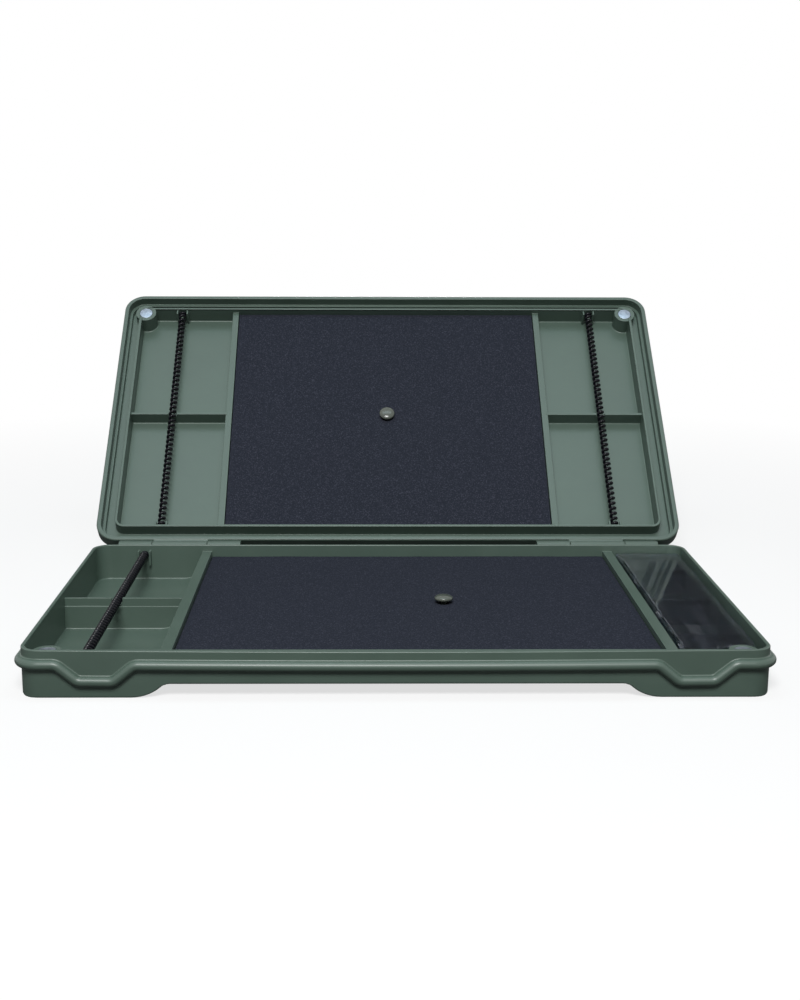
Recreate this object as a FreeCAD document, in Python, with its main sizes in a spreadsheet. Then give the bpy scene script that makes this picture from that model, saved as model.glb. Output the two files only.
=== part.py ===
import FreeCAD, Part
import math
import os
import Sketcher

# Rig box: a flat two-part case, 370 by 211 mm, that opens like a book. Both halves are trays
# with a foam board in the middle and compartments at the ends, and the right end of the base
# holds a clear tackle box with its own hinged lid.
#
# Base pieces are drawn in the base's frame: X to the right, Y to the back, origin on the table
# under the middle of the case. Lid pieces are drawn in the lid's frame, with the lid lying on
# its back like a tray: origin in the middle of the rim's plane, Y from the hinge to the front
# edge, Z out of the opening. Each piece's placement then puts it where it is when the case is
# open, in the part's own frame.

doc = FreeCAD.newDocument("rig_box")
sheet = doc.addObject("Spreadsheet::Sheet", "Sizes")


# A length, an angle or a count: its value, and the formula over the sheet that gives it.
class Size:
    def __init__(self, value, formula):
        self.value = value
        self.formula = formula

    def __float__(self):
        return float(self.value)

    def __add__(self, other):
        return Size(self.value + float(other), "(%s + %s)" % (self.formula, formula_of(other)))

    def __radd__(self, other):
        return self + other

    def __sub__(self, other):
        return Size(self.value - float(other), "(%s - %s)" % (self.formula, formula_of(other)))

    def __rsub__(self, other):
        return Size(float(other) - self.value, "(%s - %s)" % (formula_of(other), self.formula))

    def __mul__(self, other):
        return Size(self.value * float(other), "(%s * %s)" % (self.formula, formula_of(other)))

    def __rmul__(self, other):
        return self * other

    def __truediv__(self, other):
        return Size(self.value / float(other), "(%s / %s)" % (self.formula, formula_of(other)))

    def __neg__(self):
        return Size(-self.value, "(0 - %s)" % self.formula)


def formula_of(number):
    return number.formula if isinstance(number, Size) else "%.10g" % number


def root(number):
    return Size(math.sqrt(number.value), "sqrt(%s)" % number.formula)


def sine(angle):
    return Size(math.sin(math.radians(angle.value)), "sin(%s)" % angle.formula)


def cosine(angle):
    return Size(math.cos(math.radians(angle.value)), "cos(%s)" % angle.formula)


DRIVING_SIZES = [
    # the case
    ("case_width", 370.0, "across the rim"),
    ("case_depth", 211.0, "front to back across the rim"),
    ("case_corner", 13.5, "radius of the rim's corners"),
    ("seat_gap", 0.3, "between the closed lid's rim and the base's flange"),
    ("open_angle", 138.3, "how far the lid opens, in degrees"),
    ("overrun", 1.0, "how far cuts and fittings run past the faces that they meet"),
    # the base
    ("base_height", 24.0, "table to the top of the lip"),
    ("base_wall", 2.0, "side walls"),
    ("base_floor", 2.5, "floor"),
    ("lip_inset", 3.2, "flange edge to the outside of the wall"),
    ("lip_height", 3.3, "flange that carries the lid's rim up to the top of the lip"),
    ("bead_height", 5.0, "thickness of the flange's rolled edge"),
    ("bead_bevel", 1.5, "bevels of the rolled edge"),
    ("foot_reach", 76.5, "case side to where the underside starts to fall to the foot"),
    ("centre_rise", 8.0, "height of the underside between the feet"),
    ("rise_upper_radius", 6.0, "upper curve of the underside"),
    ("rise_lower_radius", 20.0, "lower curve of the underside"),
    ("foot_bevel", 1.8, "bevel round the foot of the walls"),
    ("divider_drop", 4.0, "top of the lip down to the top of the strips and the divider"),
    ("left_bay", 64.4, "width of the left compartments"),
    ("right_bay", 41.7, "width of the tackle box's bay"),
    ("strip_width", 5.8, "strips either side of the foam"),
    ("divider_thick", 1.8, "upper part of the divider"),
    ("divider_foot", 3.0, "thicker lower part of the divider"),
    ("divider_step", 4.6, "divider's top down to its step"),
    # finger dips in the front edge
    ("dip_inset", 40.5, "case side to the middle of each dip"),
    ("dip_top", 35.6, "width of a dip at the flange"),
    ("dip_bottom", 15.4, "width of its flat bottom"),
    ("dip_drop", 8.3, "depth of a dip"),
    ("dip_round", 3.0, "inner radius of its bends"),
    # the lid
    ("lid_height", 14.8, "rim to the raised panel outside"),
    ("lid_shoulder", 11.5, "rim to the border outside"),
    ("lid_wall", 2.9, "rim"),
    ("lid_ledge_depth", 6.0, "rim down to the ledge"),
    ("lid_ledge", 1.9, "width of the ledge"),
    ("lid_gutter_depth", 9.5, "rim down to the gutter round the tray"),
    ("lid_tray_inset", 10.9, "case side to the outside of the tray's wall"),
    ("lid_tray_wall", 1.7, "tray's wall"),
    ("lid_tray_corner", 6.1, "outer radius of the tray's corners"),
    ("lid_tray_depth", 12.7, "rim down to the tray's floor"),
    ("lid_lip_drop", 0.8, "rim down to the top of the tray's wall"),
    ("lid_bay", 63.6, "width of the lid's compartments"),
    ("lid_strip_width", 4.2, "strips either side of the lid's foam"),
    ("lid_strip_drop", 4.0, "rim down to the top of the strips"),
    ("lid_divider_drop", 3.6, "rim down to the top of the dividers"),
    ("lid_edge_bevel", 2.6, "outer edge of the lid"),
    ("lid_panel_bevel", 1.6, "edge of the raised panel"),
    ("rim_bevel", 0.6, "edge of the rim"),
    # foam boards and their studs
    ("foam_fit", 0.4, "round the foam boards"),
    ("foam_thick", 6.5, "base's board"),
    ("lid_foam_drop", 5.5, "rim down to the face of the lid's board"),
    ("stud_head", 10.2, "head of a stud"),
    ("stud_dome", 1.9, "rise of its head"),
    ("stud_crown", 5.4, "flat crown of its head"),
    ("stud_edge", 0.6, "rim of its head"),
    ("stud_shank", 3.0, "shank"),
    ("stud_grip", 4.6, "shank below the head"),
    ("socket_wall", 1.7, "wall of a stud's socket"),
    ("socket_drop", 2.0, "foam's face down to the stud's socket"),
    ("stud_place", 28.2, "case middle to the base's stud"),
    ("stud_back", 2.0, "case middle back to the base's stud"),
    # magnets
    ("magnet_size", 9.0, "disc magnets"),
    ("magnet_thick", 3.0, "disc magnets"),
    ("magnet_fit", 0.05, "round a magnet"),
    ("post_radius", 7.1, "magnet posts"),
    ("post_side", 15.0, "case side to a magnet"),
    ("post_front", 16.0, "front edge to a magnet"),
    ("post_drop", 3.0, "top of the lip down to the top of the base's posts"),
    ("lid_post_drop", 0.9, "rim down to the top of the lid's posts"),
    ("post_web", 1.2, "how far the webs behind the posts stand below them"),
    # springs
    ("spring_size", 5.2, "outside of the springs"),
    ("wire", 1.2, "wire of the springs"),
    ("spring_curls", 10, "curls of each spring"),
    ("wire_sides", 3, "sides of the wire's section"),
    ("spring_bend", 1.6, "radius where the wire turns to the wall"),
    ("spring_lead", 1.2, "straight end of the wire, square to the wall"),
    ("spring_peg", 1.7, "square pegs in the ends of the springs"),
    ("spring_peg_length", 5.5, "square pegs in the ends of the springs"),
    ("spring_inset", 28.8, "left wall to the base's spring"),
    ("spring_drop", 1.8, "top of the strips down to the middle of the base's spring"),
    ("lid_spring_inset", 27.8, "walls of the lid's tray to its springs"),
    ("lid_spring_drop", 4.3, "rim down to the middle of the lid's springs"),
    ("spring_clear", 0.3, "round a spring in a notch"),
    ("guide_rib", 1.1, "ribs either side of a spring's end"),
    ("guide_reach", 3.4, "how far the ribs stand out of the wall"),
    ("guide_height", 9.0, "height of the ribs"),
    # hinge of the case
    ("hinge_back", 5.55, "case back to the hinge axis"),
    ("hinge_drop", 0.4, "flange down to the hinge axis"),
    ("knuckle_radius", 3.4, "knuckles"),
    ("hinge_inset", 54.3, "case side to the middle of each hinge"),
    ("lid_knuckle", 34.0, "length of the lid's knuckle"),
    ("base_knuckle", 20.6, "length of the base's knuckles"),
    ("knuckle_gap", 0.3, "between knuckles"),
    ("pin_size", 3.0, "hinge pins"),
    ("pin_play", 0.06, "radial, in the lid's knuckles"),
    ("heel_start", 0.9, "hinge axis to the start of the face that the open lid leans on"),
    ("heel_length", 4.6, "that face"),
    ("heel_thick", 2.3, "heel behind that face"),
    ("web_height", 9.0, "height of the lid knuckle's web"),
    # tackle box
    ("tackle_side", 1.6, "between the tray and the case's right wall"),
    ("tackle_strip_gap", 2.5, "between the tray and the right strip"),
    ("tackle_end_gap", 3.3, "between the tray and the case's front and back walls"),
    ("tackle_drop", 1.8, "top of the strips down to the tray's rim"),
    ("tackle_wall", 1.4, "walls of the tray"),
    ("tackle_corner", 3.0, "corners of the tray"),
    ("end_cell", 35.5, "tray's ends to the dividers nearest to them"),
    ("notch_side_gap", 2.1, "between the magnet post and the tray's notch, across"),
    ("notch_back_gap", 1.2, "between the magnet post and the tray's notch, front to back"),
    ("plate_gap", 0.3, "between the tray's rim and the tackle box lid"),
    ("lid_plate", 1.2, "tackle box lid"),
    ("plate_recess", 0.4, "sunk field of the tackle box lid"),
    ("plate_border", 2.2, "border round the sunk field"),
    ("plate_hinge_edge", 2.3, "hinge axis to the plate's edge"),
    ("tackle_axis_rise", 1.8, "tray's rim up to the tackle box's hinge axis"),
    ("tackle_axis_out", 0.4, "tray's side out to the hinge axis"),
    ("rod_radius", 0.75, "rods of the tackle box's hinge"),
    ("rod_play", 0.06, "radial, round a rod in its ear"),
    ("arm_width", 8.0, "arms that carry the rods"),
    ("ear_reach", 1.4, "ear round a rod's axis"),
    ("ear_thick", 2.4, "ear along its rod"),
    ("ear_gap", 0.3, "between an ear and an arm"),
    ("ear_drop", 7.0, "ear below the hinge axis"),
    ("inner_hinge", 31.0, "tray middle to the inner hinges"),
    ("outer_hinge", 13.5, "tray's ends to the outer hinges"),
]

for row, (alias, value, meaning) in enumerate(DRIVING_SIZES, start=1):
    sheet.set("A%d" % row, alias)
    sheet.set("B%d" % row, "%g" % value)
    sheet.set("C%d" % row, meaning)
    sheet.setAlias("B%d" % row, alias)
doc.recompute()


class Sizes:
    pass


near = 1e-4  # how close, in mm, a point lies to what it is said to lie on


size = Sizes()
for alias, value, meaning in DRIVING_SIZES:
    setattr(size, alias, Size(float(sheet.get(alias)), "Sizes." + alias))


# Sketches and features


def origin_plane(body, role):
    for feature in body.Origin.OriginFeatures:
        if feature.Role == role:
            return feature


def new_body(name):
    return doc.addObject("PartDesign::Body", name)


# A sketch on one of the body's own planes, moved along the plane's normal. The normal of
# XZ_Plane points to the front, that of YZ_Plane to the right and that of XY_Plane up.
def new_sketch(body, name, role, offset=None):
    sketch = body.newObject("Sketcher::SketchObject", name)
    sketch.AttachmentSupport = [(origin_plane(body, role), "")]
    sketch.MapMode = "FlatFace"
    if offset is not None:
        sketch.AttachmentOffset = FreeCAD.Placement(
            FreeCAD.Vector(0, 0, float(offset)), FreeCAD.Rotation()
        )
        if isinstance(offset, Size):
            sketch.setExpression("AttachmentOffset.Base.z", offset.formula)
    return sketch


def set_datum(sketch, kind, where, number):
    index = sketch.addConstraint(Sketcher.Constraint(kind, *where, float(number)))
    if isinstance(number, Size):
        sketch.setExpression("Constraints[%d]" % index, number.formula)


def fix_point(sketch, geometry, position, x, y):
    for kind, axis, number in (("DistanceX", -2, x), ("DistanceY", -1, y)):
        if isinstance(number, Size) or abs(number) > 1e-9:
            set_datum(sketch, kind, (-1, 1, geometry, position), number)
        else:
            sketch.addConstraint(Sketcher.Constraint("PointOnObject", geometry, position, axis))


# The middle of the arc of the given radius from one point to the next. A positive radius has
# its centre on the left of the way from one to the other, and the arc is under half a circle.
def arc_middle(start, end, radius):
    dx = end[0] - start[0]
    dy = end[1] - start[1]
    chord = math.hypot(dx, dy)
    sag = abs(radius) - math.sqrt(max(radius * radius - chord * chord / 4, 0.0))
    side = 1 if radius > 0 else -1
    return (
        (start[0] + end[0]) / 2 + side * sag * dy / chord,
        (start[1] + end[1]) / 2 - side * sag * dx / chord,
    )


# A closed outline. Each corner is (x, y), or (x, y, radius) where the edge that leaves it is
# an arc of that radius, with its centre on the left of the way on, or on the right if negative.
def draw(sketch, corners):
    first = sketch.GeometryCount
    count = len(corners)
    for i, corner in enumerate(corners):
        following = corners[(i + 1) % count]
        start = (float(corner[0]), float(corner[1]))
        end = (float(following[0]), float(following[1]))
        if len(corner) == 2:
            sketch.addGeometry(
                Part.LineSegment(FreeCAD.Vector(*start, 0), FreeCAD.Vector(*end, 0)), False
            )
        else:
            middle = arc_middle(start, end, float(corner[2]))
            sketch.addGeometry(
                Part.Arc(
                    FreeCAD.Vector(*start, 0),
                    FreeCAD.Vector(*middle, 0),
                    FreeCAD.Vector(*end, 0),
                ),
                False,
            )
    # an arc is stored anticlockwise, so one whose centre lies on the right starts at its end
    starts = []
    ends = []
    for corner in corners:
        backwards = len(corner) == 3 and float(corner[2]) < 0
        starts.append(2 if backwards else 1)
        ends.append(1 if backwards else 2)
    for i, corner in enumerate(corners):
        after = (i + 1) % count
        sketch.addConstraint(
            Sketcher.Constraint("Coincident", first + i, ends[i], first + after, starts[after])
        )
        fix_point(sketch, first + i, starts[i], corner[0], corner[1])
        if len(corner) == 3:
            radius = corner[2] if float(corner[2]) > 0 else -corner[2]
            set_datum(sketch, "Radius", (first + i,), radius)


def rounded_rectangle(left, right, low, high, radius):
    return [
        (left + radius, low),
        (right - radius, low, radius),
        (right, low + radius),
        (right, high - radius, radius),
        (right - radius, high),
        (left + radius, high, radius),
        (left, high - radius),
        (left, low + radius, radius),
    ]


def rectangle(left, right, low, high):
    return [(left, low), (right, low), (right, high), (left, high)]


def set_property(feature, name, number):
    setattr(feature, name, float(number))
    if isinstance(number, Size):
        feature.setExpression(name, number.formula)


def pad(body, name, sketch, length, backwards=False, both_ways=False):
    feature = body.newObject("PartDesign::Pad", name)
    feature.Profile = sketch
    feature.Type = 0
    feature.Refine = True
    feature.Reversed = backwards
    feature.Midplane = both_ways
    set_property(feature, "Length", length)
    body.Tip = feature
    doc.recompute()
    return feature


def pocket(body, name, sketch, depth, backwards=False):
    before = body.Shape.Volume
    feature = body.newObject("PartDesign::Pocket", name)
    feature.Profile = sketch
    feature.Type = 0
    feature.Refine = True
    feature.Reversed = backwards
    set_property(feature, "Length", depth)
    body.Tip = feature
    doc.recompute()
    if body.Shape.Volume >= before - 1e-6:
        raise RuntimeError("%s cuts nothing" % name)
    return feature


def turn_profile(body, name, sketch):
    feature = body.newObject("PartDesign::Revolution", name)
    feature.Profile = sketch
    feature.ReferenceAxis = (sketch, ["V_Axis"])
    feature.Angle = 360
    body.Tip = feature
    doc.recompute()
    return feature


def fillet(body, name, wanted, radius):
    base = body.Tip
    edges = [
        "Edge%d" % (i + 1) for i, edge in enumerate(base.Shape.Edges) if wanted(edge)
    ]
    if not edges:
        raise RuntimeError("%s finds no edge" % name)
    feature = body.newObject("PartDesign::Fillet", name)
    feature.Base = (base, edges)
    set_property(feature, "Radius", radius)
    body.Tip = feature
    doc.recompute()
    return feature


def chamfer(body, name, wanted, length):
    base = body.Tip
    edges = [
        "Edge%d" % (i + 1) for i, edge in enumerate(base.Shape.Edges) if wanted(edge)
    ]
    if not edges:
        raise RuntimeError("%s finds no edge" % name)
    feature = body.newObject("PartDesign::Chamfer", name)
    feature.Base = (base, edges)
    set_property(feature, "Size", length)
    body.Tip = feature
    doc.recompute()
    return feature


def edge_points(edge):
    first, last = edge.ParameterRange
    return [edge.valueAt(first + (last - first) * t) for t in (0.02, 0.25, 0.5, 0.75, 0.98)]


def is_level(edge, height):
    return all(abs(point.z - float(height)) < near for point in edge_points(edge))


def is_upright(edge):
    points = edge_points(edge)
    return math.hypot(points[0].x - points[-1].x, points[0].y - points[-1].y) < near


# Whether an edge runs round the case's outline, at any height.
def on_case_outline(edge):
    centre_x = float(half_width - size.case_corner)
    centre_y = float(half_depth - size.case_corner)
    for point in edge_points(edge):
        across = max(abs(point.x) - centre_x, 0)
        along = max(abs(point.y) - centre_y, 0)
        if abs(math.hypot(across, along) - float(size.case_corner)) > near * 10:
            return False
    return not is_upright(edge)


def slab(name, outline, bottom, height):
    body = new_body(name)
    sketch = new_sketch(body, name + "_outline", "XY_Plane", bottom)
    draw(sketch, outline)
    pad(body, name + "_pad", sketch, height)
    return body


def box(name, left, right, front, back, bottom, top):
    block = doc.addObject("Part::Box", name)
    set_property(block, "Length", right - left)
    set_property(block, "Width", back - front)
    set_property(block, "Height", top - bottom)
    set_place(block, left, front, bottom)
    return block


def cylinder(name, radius, length, x, y, z, axis="Z"):
    rod = doc.addObject("Part::Cylinder", name)
    set_property(rod, "Radius", radius)
    set_property(rod, "Height", length)
    turn = {
        "Z": FreeCAD.Rotation(),
        "X": FreeCAD.Rotation(FreeCAD.Vector(0, 1, 0), 90),
        "Y": FreeCAD.Rotation(FreeCAD.Vector(1, 0, 0), -90),
    }[axis]
    rod.Placement = FreeCAD.Placement(FreeCAD.Vector(), turn)
    set_place(rod, x, y, z)
    return rod


# Two values, the lower one first.
def span(first, second):
    return (first, second) if float(first) < float(second) else (second, first)


def set_place(thing, x, y, z):
    turn = thing.Placement.Rotation
    place = FreeCAD.Vector(float(x), float(y), float(z))
    thing.Placement = FreeCAD.Placement(place, turn)
    for axis, number in (("x", x), ("y", y), ("z", z)):
        if isinstance(number, Size):
            thing.setExpression("Placement.Base." + axis, number.formula)


def fuse(name, things):
    result = doc.addObject("Part::MultiFuse", name)
    result.Shapes = things
    result.Refine = True
    return result


def cut(name, base, tool):
    result = doc.addObject("Part::Cut", name)
    result.Base = base
    result.Tool = tool
    result.Refine = True
    return result


def common(name, things):
    result = doc.addObject("Part::MultiCommon", name)
    result.Shapes = things
    return result


# Sizes that follow from the driving ones

half_width = size.case_width / 2
half_depth = size.case_depth / 2
wall_x = half_width - size.lip_inset
wall_y = half_depth - size.lip_inset
inner_x = wall_x - size.base_wall
inner_y = wall_y - size.base_wall
wall_corner = size.case_corner - size.lip_inset
inner_corner = wall_corner - size.base_wall
flange_top = size.base_height - size.lip_height
divider_top = size.base_height - size.divider_drop
post_top = size.base_height - size.post_drop
spring_axis = divider_top - size.spring_drop
spring_x = size.spring_inset - inner_x

rise_x = half_width - size.foot_reach
rise_radii = size.rise_upper_radius + size.rise_lower_radius
rise_cosine = 1 - size.centre_rise / rise_radii
rise_sine = root(1 - rise_cosine * rise_cosine)
foot_x = rise_x + rise_radii * rise_sine
foam_seat = size.centre_rise + size.base_floor

left_strip_left = size.left_bay - inner_x
left_strip_right = left_strip_left + size.strip_width
right_strip_right = inner_x - size.right_bay
right_strip_left = right_strip_right - size.strip_width

tray_x = half_width - size.lid_tray_inset - size.lid_tray_wall
tray_y = half_depth - size.lid_tray_inset - size.lid_tray_wall
tray_corner = size.lid_tray_corner - size.lid_tray_wall
lid_strip_outer = tray_x - size.lid_bay
lid_strip_inner = lid_strip_outer - size.lid_strip_width
lid_panel_inset = size.lid_tray_inset + size.lid_tray_wall - (size.lid_height - size.lid_tray_depth)
lid_panel_corner = size.lid_tray_corner + size.lid_tray_inset - lid_panel_inset
lid_spring_x = tray_x - size.lid_spring_inset

post_x = half_width - size.post_side
post_y = half_depth - size.post_front

hinge_x = half_width - size.hinge_inset
hinge_y = half_depth + size.hinge_back
hinge_height = flange_top - size.hinge_drop
rim_rise = flange_top + size.seat_gap - hinge_height
lean = 180 - size.open_angle
lid_reach = (size.case_depth + size.hinge_back) * cosine(lean) + (
    size.lid_shoulder - size.lid_edge_bevel + rim_rise
) * sine(lean)
base_shift = -(size.hinge_back + lid_reach) / 2

spring_middle = (size.spring_size - size.wire) / 2
notch_radius = size.spring_size / 2 + size.spring_clear


# Base of the case


# The floor's line from the left wall to the right one, at a height over the underside: level
# over the feet, and raised in two curves to the middle.
def underside(edge_x, thick):
    upper = size.rise_upper_radius + thick
    lower = size.rise_lower_radius - thick
    bend_x = rise_x + upper * rise_sine
    bend_z = size.centre_rise - size.rise_upper_radius + upper * rise_cosine
    low = thick
    high = size.centre_rise + thick
    return [
        (-edge_x, low),
        (-foot_x, low, lower),
        (-bend_x, bend_z, -upper),
        (-rise_x, high),
        (rise_x, high, -upper),
        (bend_x, bend_z, lower),
        (foot_x, low),
        (edge_x, low),
    ]


def make_base_block():
    body = new_body("base_block")
    sketch = new_sketch(body, "base_front", "XZ_Plane")
    draw(
        sketch,
        underside(wall_x, 0.0)
        + [(wall_x, size.base_height), (-wall_x, size.base_height)],
    )
    pad(body, "base_front_pad", sketch, wall_y * 2, both_ways=True)
    fillet(
        body,
        "base_corners",
        lambda edge: is_upright(edge) and abs(abs(edge_points(edge)[0].x) - float(wall_x)) < near,
        wall_corner,
    )

    def at_foot(edge):
        points = edge_points(edge)
        outside = all(
            abs(abs(p.y) - float(wall_y)) < near
            or (abs(p.x) > float(wall_x - wall_corner) - near and p.z < near)
            for p in points
        )
        return outside and all(p.z < float(size.centre_rise) + near for p in points) and (
            not is_upright(edge)
        )

    chamfer(body, "base_foot", at_foot, size.foot_bevel)
    return body


# The flange's rolled edge, with a dip for the fingers near each end of the front.
def make_base_bead():
    overlap = size.lip_inset + size.base_wall / 2
    body = new_body("base_bead")
    sketch = new_sketch(body, "bead_plan", "XY_Plane", flange_top - size.bead_height)
    draw(sketch, rounded_rectangle(-half_width, half_width, -half_depth, half_depth, size.case_corner))
    ring_x = half_width - overlap
    ring_y = half_depth - overlap
    draw(
        sketch,
        rounded_rectangle(-ring_x, ring_x, -ring_y, ring_y, size.case_corner - overlap),
    )
    pad(body, "bead_pad", sketch, size.bead_height)

    run = (size.dip_top - size.dip_bottom) / 2
    slope = root(run * run + size.dip_drop * size.dip_drop)
    slope_sine = size.dip_drop / slope
    slope_cosine = run / slope
    half_turn = (slope - run) / size.dip_drop
    shift = size.bead_height * half_turn
    wide = size.dip_round + size.bead_height
    wide_tangent = wide * half_turn
    tight_tangent = size.dip_round * half_turn
    dip_end = size.dip_top / 2 + shift + wide_tangent
    low = flange_top - size.dip_drop

    clear = new_sketch(body, "dip_clear", "XY_Plane", flange_top + size.overrun)
    for side in (-1, 1):
        middle = (half_width - size.dip_inset) * side
        draw(
            clear,
            rectangle(
                middle - dip_end,
                middle + dip_end,
                -half_depth - size.overrun,
                -half_depth + size.lip_inset,
            ),
        )
    pocket(body, "dip_clearing", clear, size.bead_height + size.overrun * 2)

    # from the end of the dip on the left, down and up along its top, and back along its underside
    def half_of_edge(x_top, x_low, height, top_radius, low_radius):
        top_tangent = top_radius * half_turn
        low_tangent = low_radius * half_turn
        return [
            (x_top + top_tangent, height),
            (x_top - top_tangent * slope_cosine, height - top_tangent * slope_sine),
            (
                x_low + low_tangent * slope_cosine,
                height - size.dip_drop + low_tangent * slope_sine,
            ),
            (x_low - low_tangent, height - size.dip_drop),
        ]

    # the first and the third of four points start an arc
    def with_arcs(points, first, second):
        return [points[0] + (first,), points[1], points[2] + (second,), points[3]]

    profile = new_sketch(body, "dip_profile", "XZ_Plane", half_depth)
    for side in (-1, 1):
        middle = (half_width - size.dip_inset) * side
        top = half_of_edge(
            size.dip_top / 2, size.dip_bottom / 2, flange_top, wide, size.dip_round
        )
        under = half_of_edge(
            size.dip_top / 2 + shift,
            size.dip_bottom / 2 + shift,
            flange_top - size.bead_height,
            size.dip_round,
            wide,
        )
        right_top = [(middle + p[0],) + p[1:] for p in top]
        left_top = [(middle - p[0],) + p[1:] for p in reversed(top)]
        left_under = [(middle - p[0],) + p[1:] for p in under]
        right_under = [(middle + p[0],) + p[1:] for p in reversed(under)]
        outline = [(middle + dip_end, flange_top)]
        outline += with_arcs(right_top, wide, -size.dip_round)
        outline += with_arcs(left_top, -size.dip_round, wide)
        outline += [(middle - dip_end, flange_top)]
        outline += [(middle - dip_end, flange_top - size.bead_height)]
        outline += with_arcs(left_under, -size.dip_round, wide)
        outline += with_arcs(right_under, wide, -size.dip_round)
        outline += [(middle + dip_end, flange_top - size.bead_height)]
        draw(profile, outline)
    pad(body, "dip_pad", profile, overlap, backwards=True)

    chamfer(body, "bead_bevel", on_case_outline, size.bead_bevel)
    return body


def make_base_cavity():
    profile = new_body("base_cavity_profile")
    sketch = new_sketch(profile, "base_cavity_front", "XZ_Plane")
    top = size.base_height + size.overrun
    draw(sketch, underside(inner_x, size.base_floor) + [(inner_x, top), (-inner_x, top)])
    pad(profile, "base_cavity_front_pad", sketch, size.case_depth, both_ways=True)
    plan = slab(
        "base_cavity_plan",
        rounded_rectangle(-inner_x, inner_x, -inner_y, inner_y, inner_corner),
        0.0,
        size.base_height + size.overrun * 2,
    )
    return common("base_cavity", [profile, plan])


# Ribs in pairs on the two end walls, which guide the ends of a spring.
def guide_ribs(name, x, wall, top, bottom):
    ribs = []
    gap = size.spring_size / 2 + size.spring_clear
    start = wall - size.guide_reach
    end = wall + size.overrun
    for side, where in ((-1, "left"), (1, "right")):
        inner = x + gap * side
        outer = x + (gap + size.guide_rib) * side
        left, right = span(inner, outer)
        ribs.append(box(name + "_front_" + where, left, right, -end, -start, bottom, top))
        ribs.append(box(name + "_back_" + where, left, right, start, end, bottom, top))
    return ribs


def base_fittings():
    deep = 0.0
    far = inner_y + size.overrun
    things = [
        box("left_strip", left_strip_left, left_strip_right, -far, far, deep, divider_top),
        box("right_strip", right_strip_left, right_strip_right, -far, far, deep, divider_top),
        box(
            "divider_upper",
            -inner_x - size.overrun,
            left_strip_left + size.overrun,
            -size.divider_thick / 2,
            size.divider_thick / 2,
            deep,
            divider_top,
        ),
        box(
            "divider_lower",
            -inner_x - size.overrun,
            left_strip_left + size.overrun,
            -size.divider_foot / 2,
            size.divider_foot / 2,
            deep,
            divider_top - size.divider_step,
        ),
        cylinder(
            "base_stud_socket",
            size.stud_shank / 2 + size.socket_wall,
            foam_seat + size.foam_thick - size.socket_drop,
            size.stud_place,
            size.stud_back,
            deep,
        ),
    ]
    # ribs that carry the foam board's right end over the fall of the floor
    bearer_step = (right_strip_left - rise_x) / 3
    for number in (1, 2):
        middle = rise_x + bearer_step * number
        things.append(
            box(
                "foam_bearer_%d" % number,
                middle - size.divider_thick / 2,
                middle + size.divider_thick / 2,
                -far,
                far,
                deep,
                foam_seat,
            )
        )
    for side, where in ((-1, "left"), (1, "right")):
        things.append(
            cylinder("base_post_" + where, size.post_radius, post_top, post_x * side, -post_y, deep)
        )
        left, right = span(post_x * side, (inner_x + size.overrun) * side)
        things.append(
            box("base_post_web_" + where, left, right, -far, -post_y, deep, post_top - size.post_web)
        )
    things += spring_pegs("base_spring_peg", spring_x, inner_y, spring_axis)
    things += guide_ribs(
        "base_guide",
        spring_x,
        inner_y,
        spring_axis + size.spring_size / 2,
        spring_axis + size.spring_size / 2 - size.guide_height,
    )
    return things


def notch(name, x, y_low, y_high, axis_height, top):
    return [
        cylinder(name + "_round", notch_radius, y_high - y_low, x, y_low, axis_height, axis="Y"),
        box(name + "_open", x - notch_radius, x + notch_radius, y_low, y_high, axis_height, top),
    ]


# Square pegs on the two end walls, in the ends of a spring.
def spring_pegs(name, x, wall, height):
    half = size.spring_peg / 2
    start = wall - size.spring_peg_length
    end = wall + size.overrun
    return [
        box(name + "_front", x - half, x + half, -end, -start, height - half, height + half),
        box(name + "_back", x - half, x + half, start, end, height - half, height + half),
    ]


# A knuckle with its arm to the back of the base, and the heel that the open lid leans on.
def base_knuckle(name, left, right):
    face = size.hinge_back - size.seat_gap
    stop_x = face * cosine(lean) + size.heel_start * sine(lean)
    stop_z = face * sine(lean) - size.heel_start * cosine(lean)
    end_x = stop_x + size.heel_length * sine(lean)
    end_z = stop_z - size.heel_length * cosine(lean)
    inner_x_of_heel = end_x - size.heel_thick * cosine(lean)
    inner_z_of_heel = end_z - size.heel_thick * sine(lean)
    inside_barrel = size.knuckle_radius * 0.8
    body = new_body(name)
    sketch = new_sketch(body, name + "_side", "YZ_Plane", left)
    draw(
        sketch,
        [
            (half_depth - size.lip_inset - size.base_wall / 2, flange_top - size.bead_height),
            (hinge_y, flange_top - size.bead_height),
            (hinge_y + inner_x_of_heel, hinge_height + inner_z_of_heel),
            (hinge_y + end_x, hinge_height + end_z),
            (hinge_y + stop_x, hinge_height + stop_z),
            (hinge_y, hinge_height + inside_barrel),
            (hinge_y - inside_barrel, hinge_height),
            (half_depth - size.lip_inset - size.base_wall / 2, hinge_height),
        ],
    )
    pad(body, name + "_pad", sketch, right - left)
    barrel = cylinder(
        name + "_barrel", size.knuckle_radius, right - left, left, hinge_y, hinge_height, axis="X"
    )
    return [body, barrel]


def hinge_spans(side):
    middle = hinge_x * side
    half_lid = size.lid_knuckle / 2
    near = half_lid + size.knuckle_gap
    far = near + size.base_knuckle
    return middle, half_lid, near, far


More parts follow.
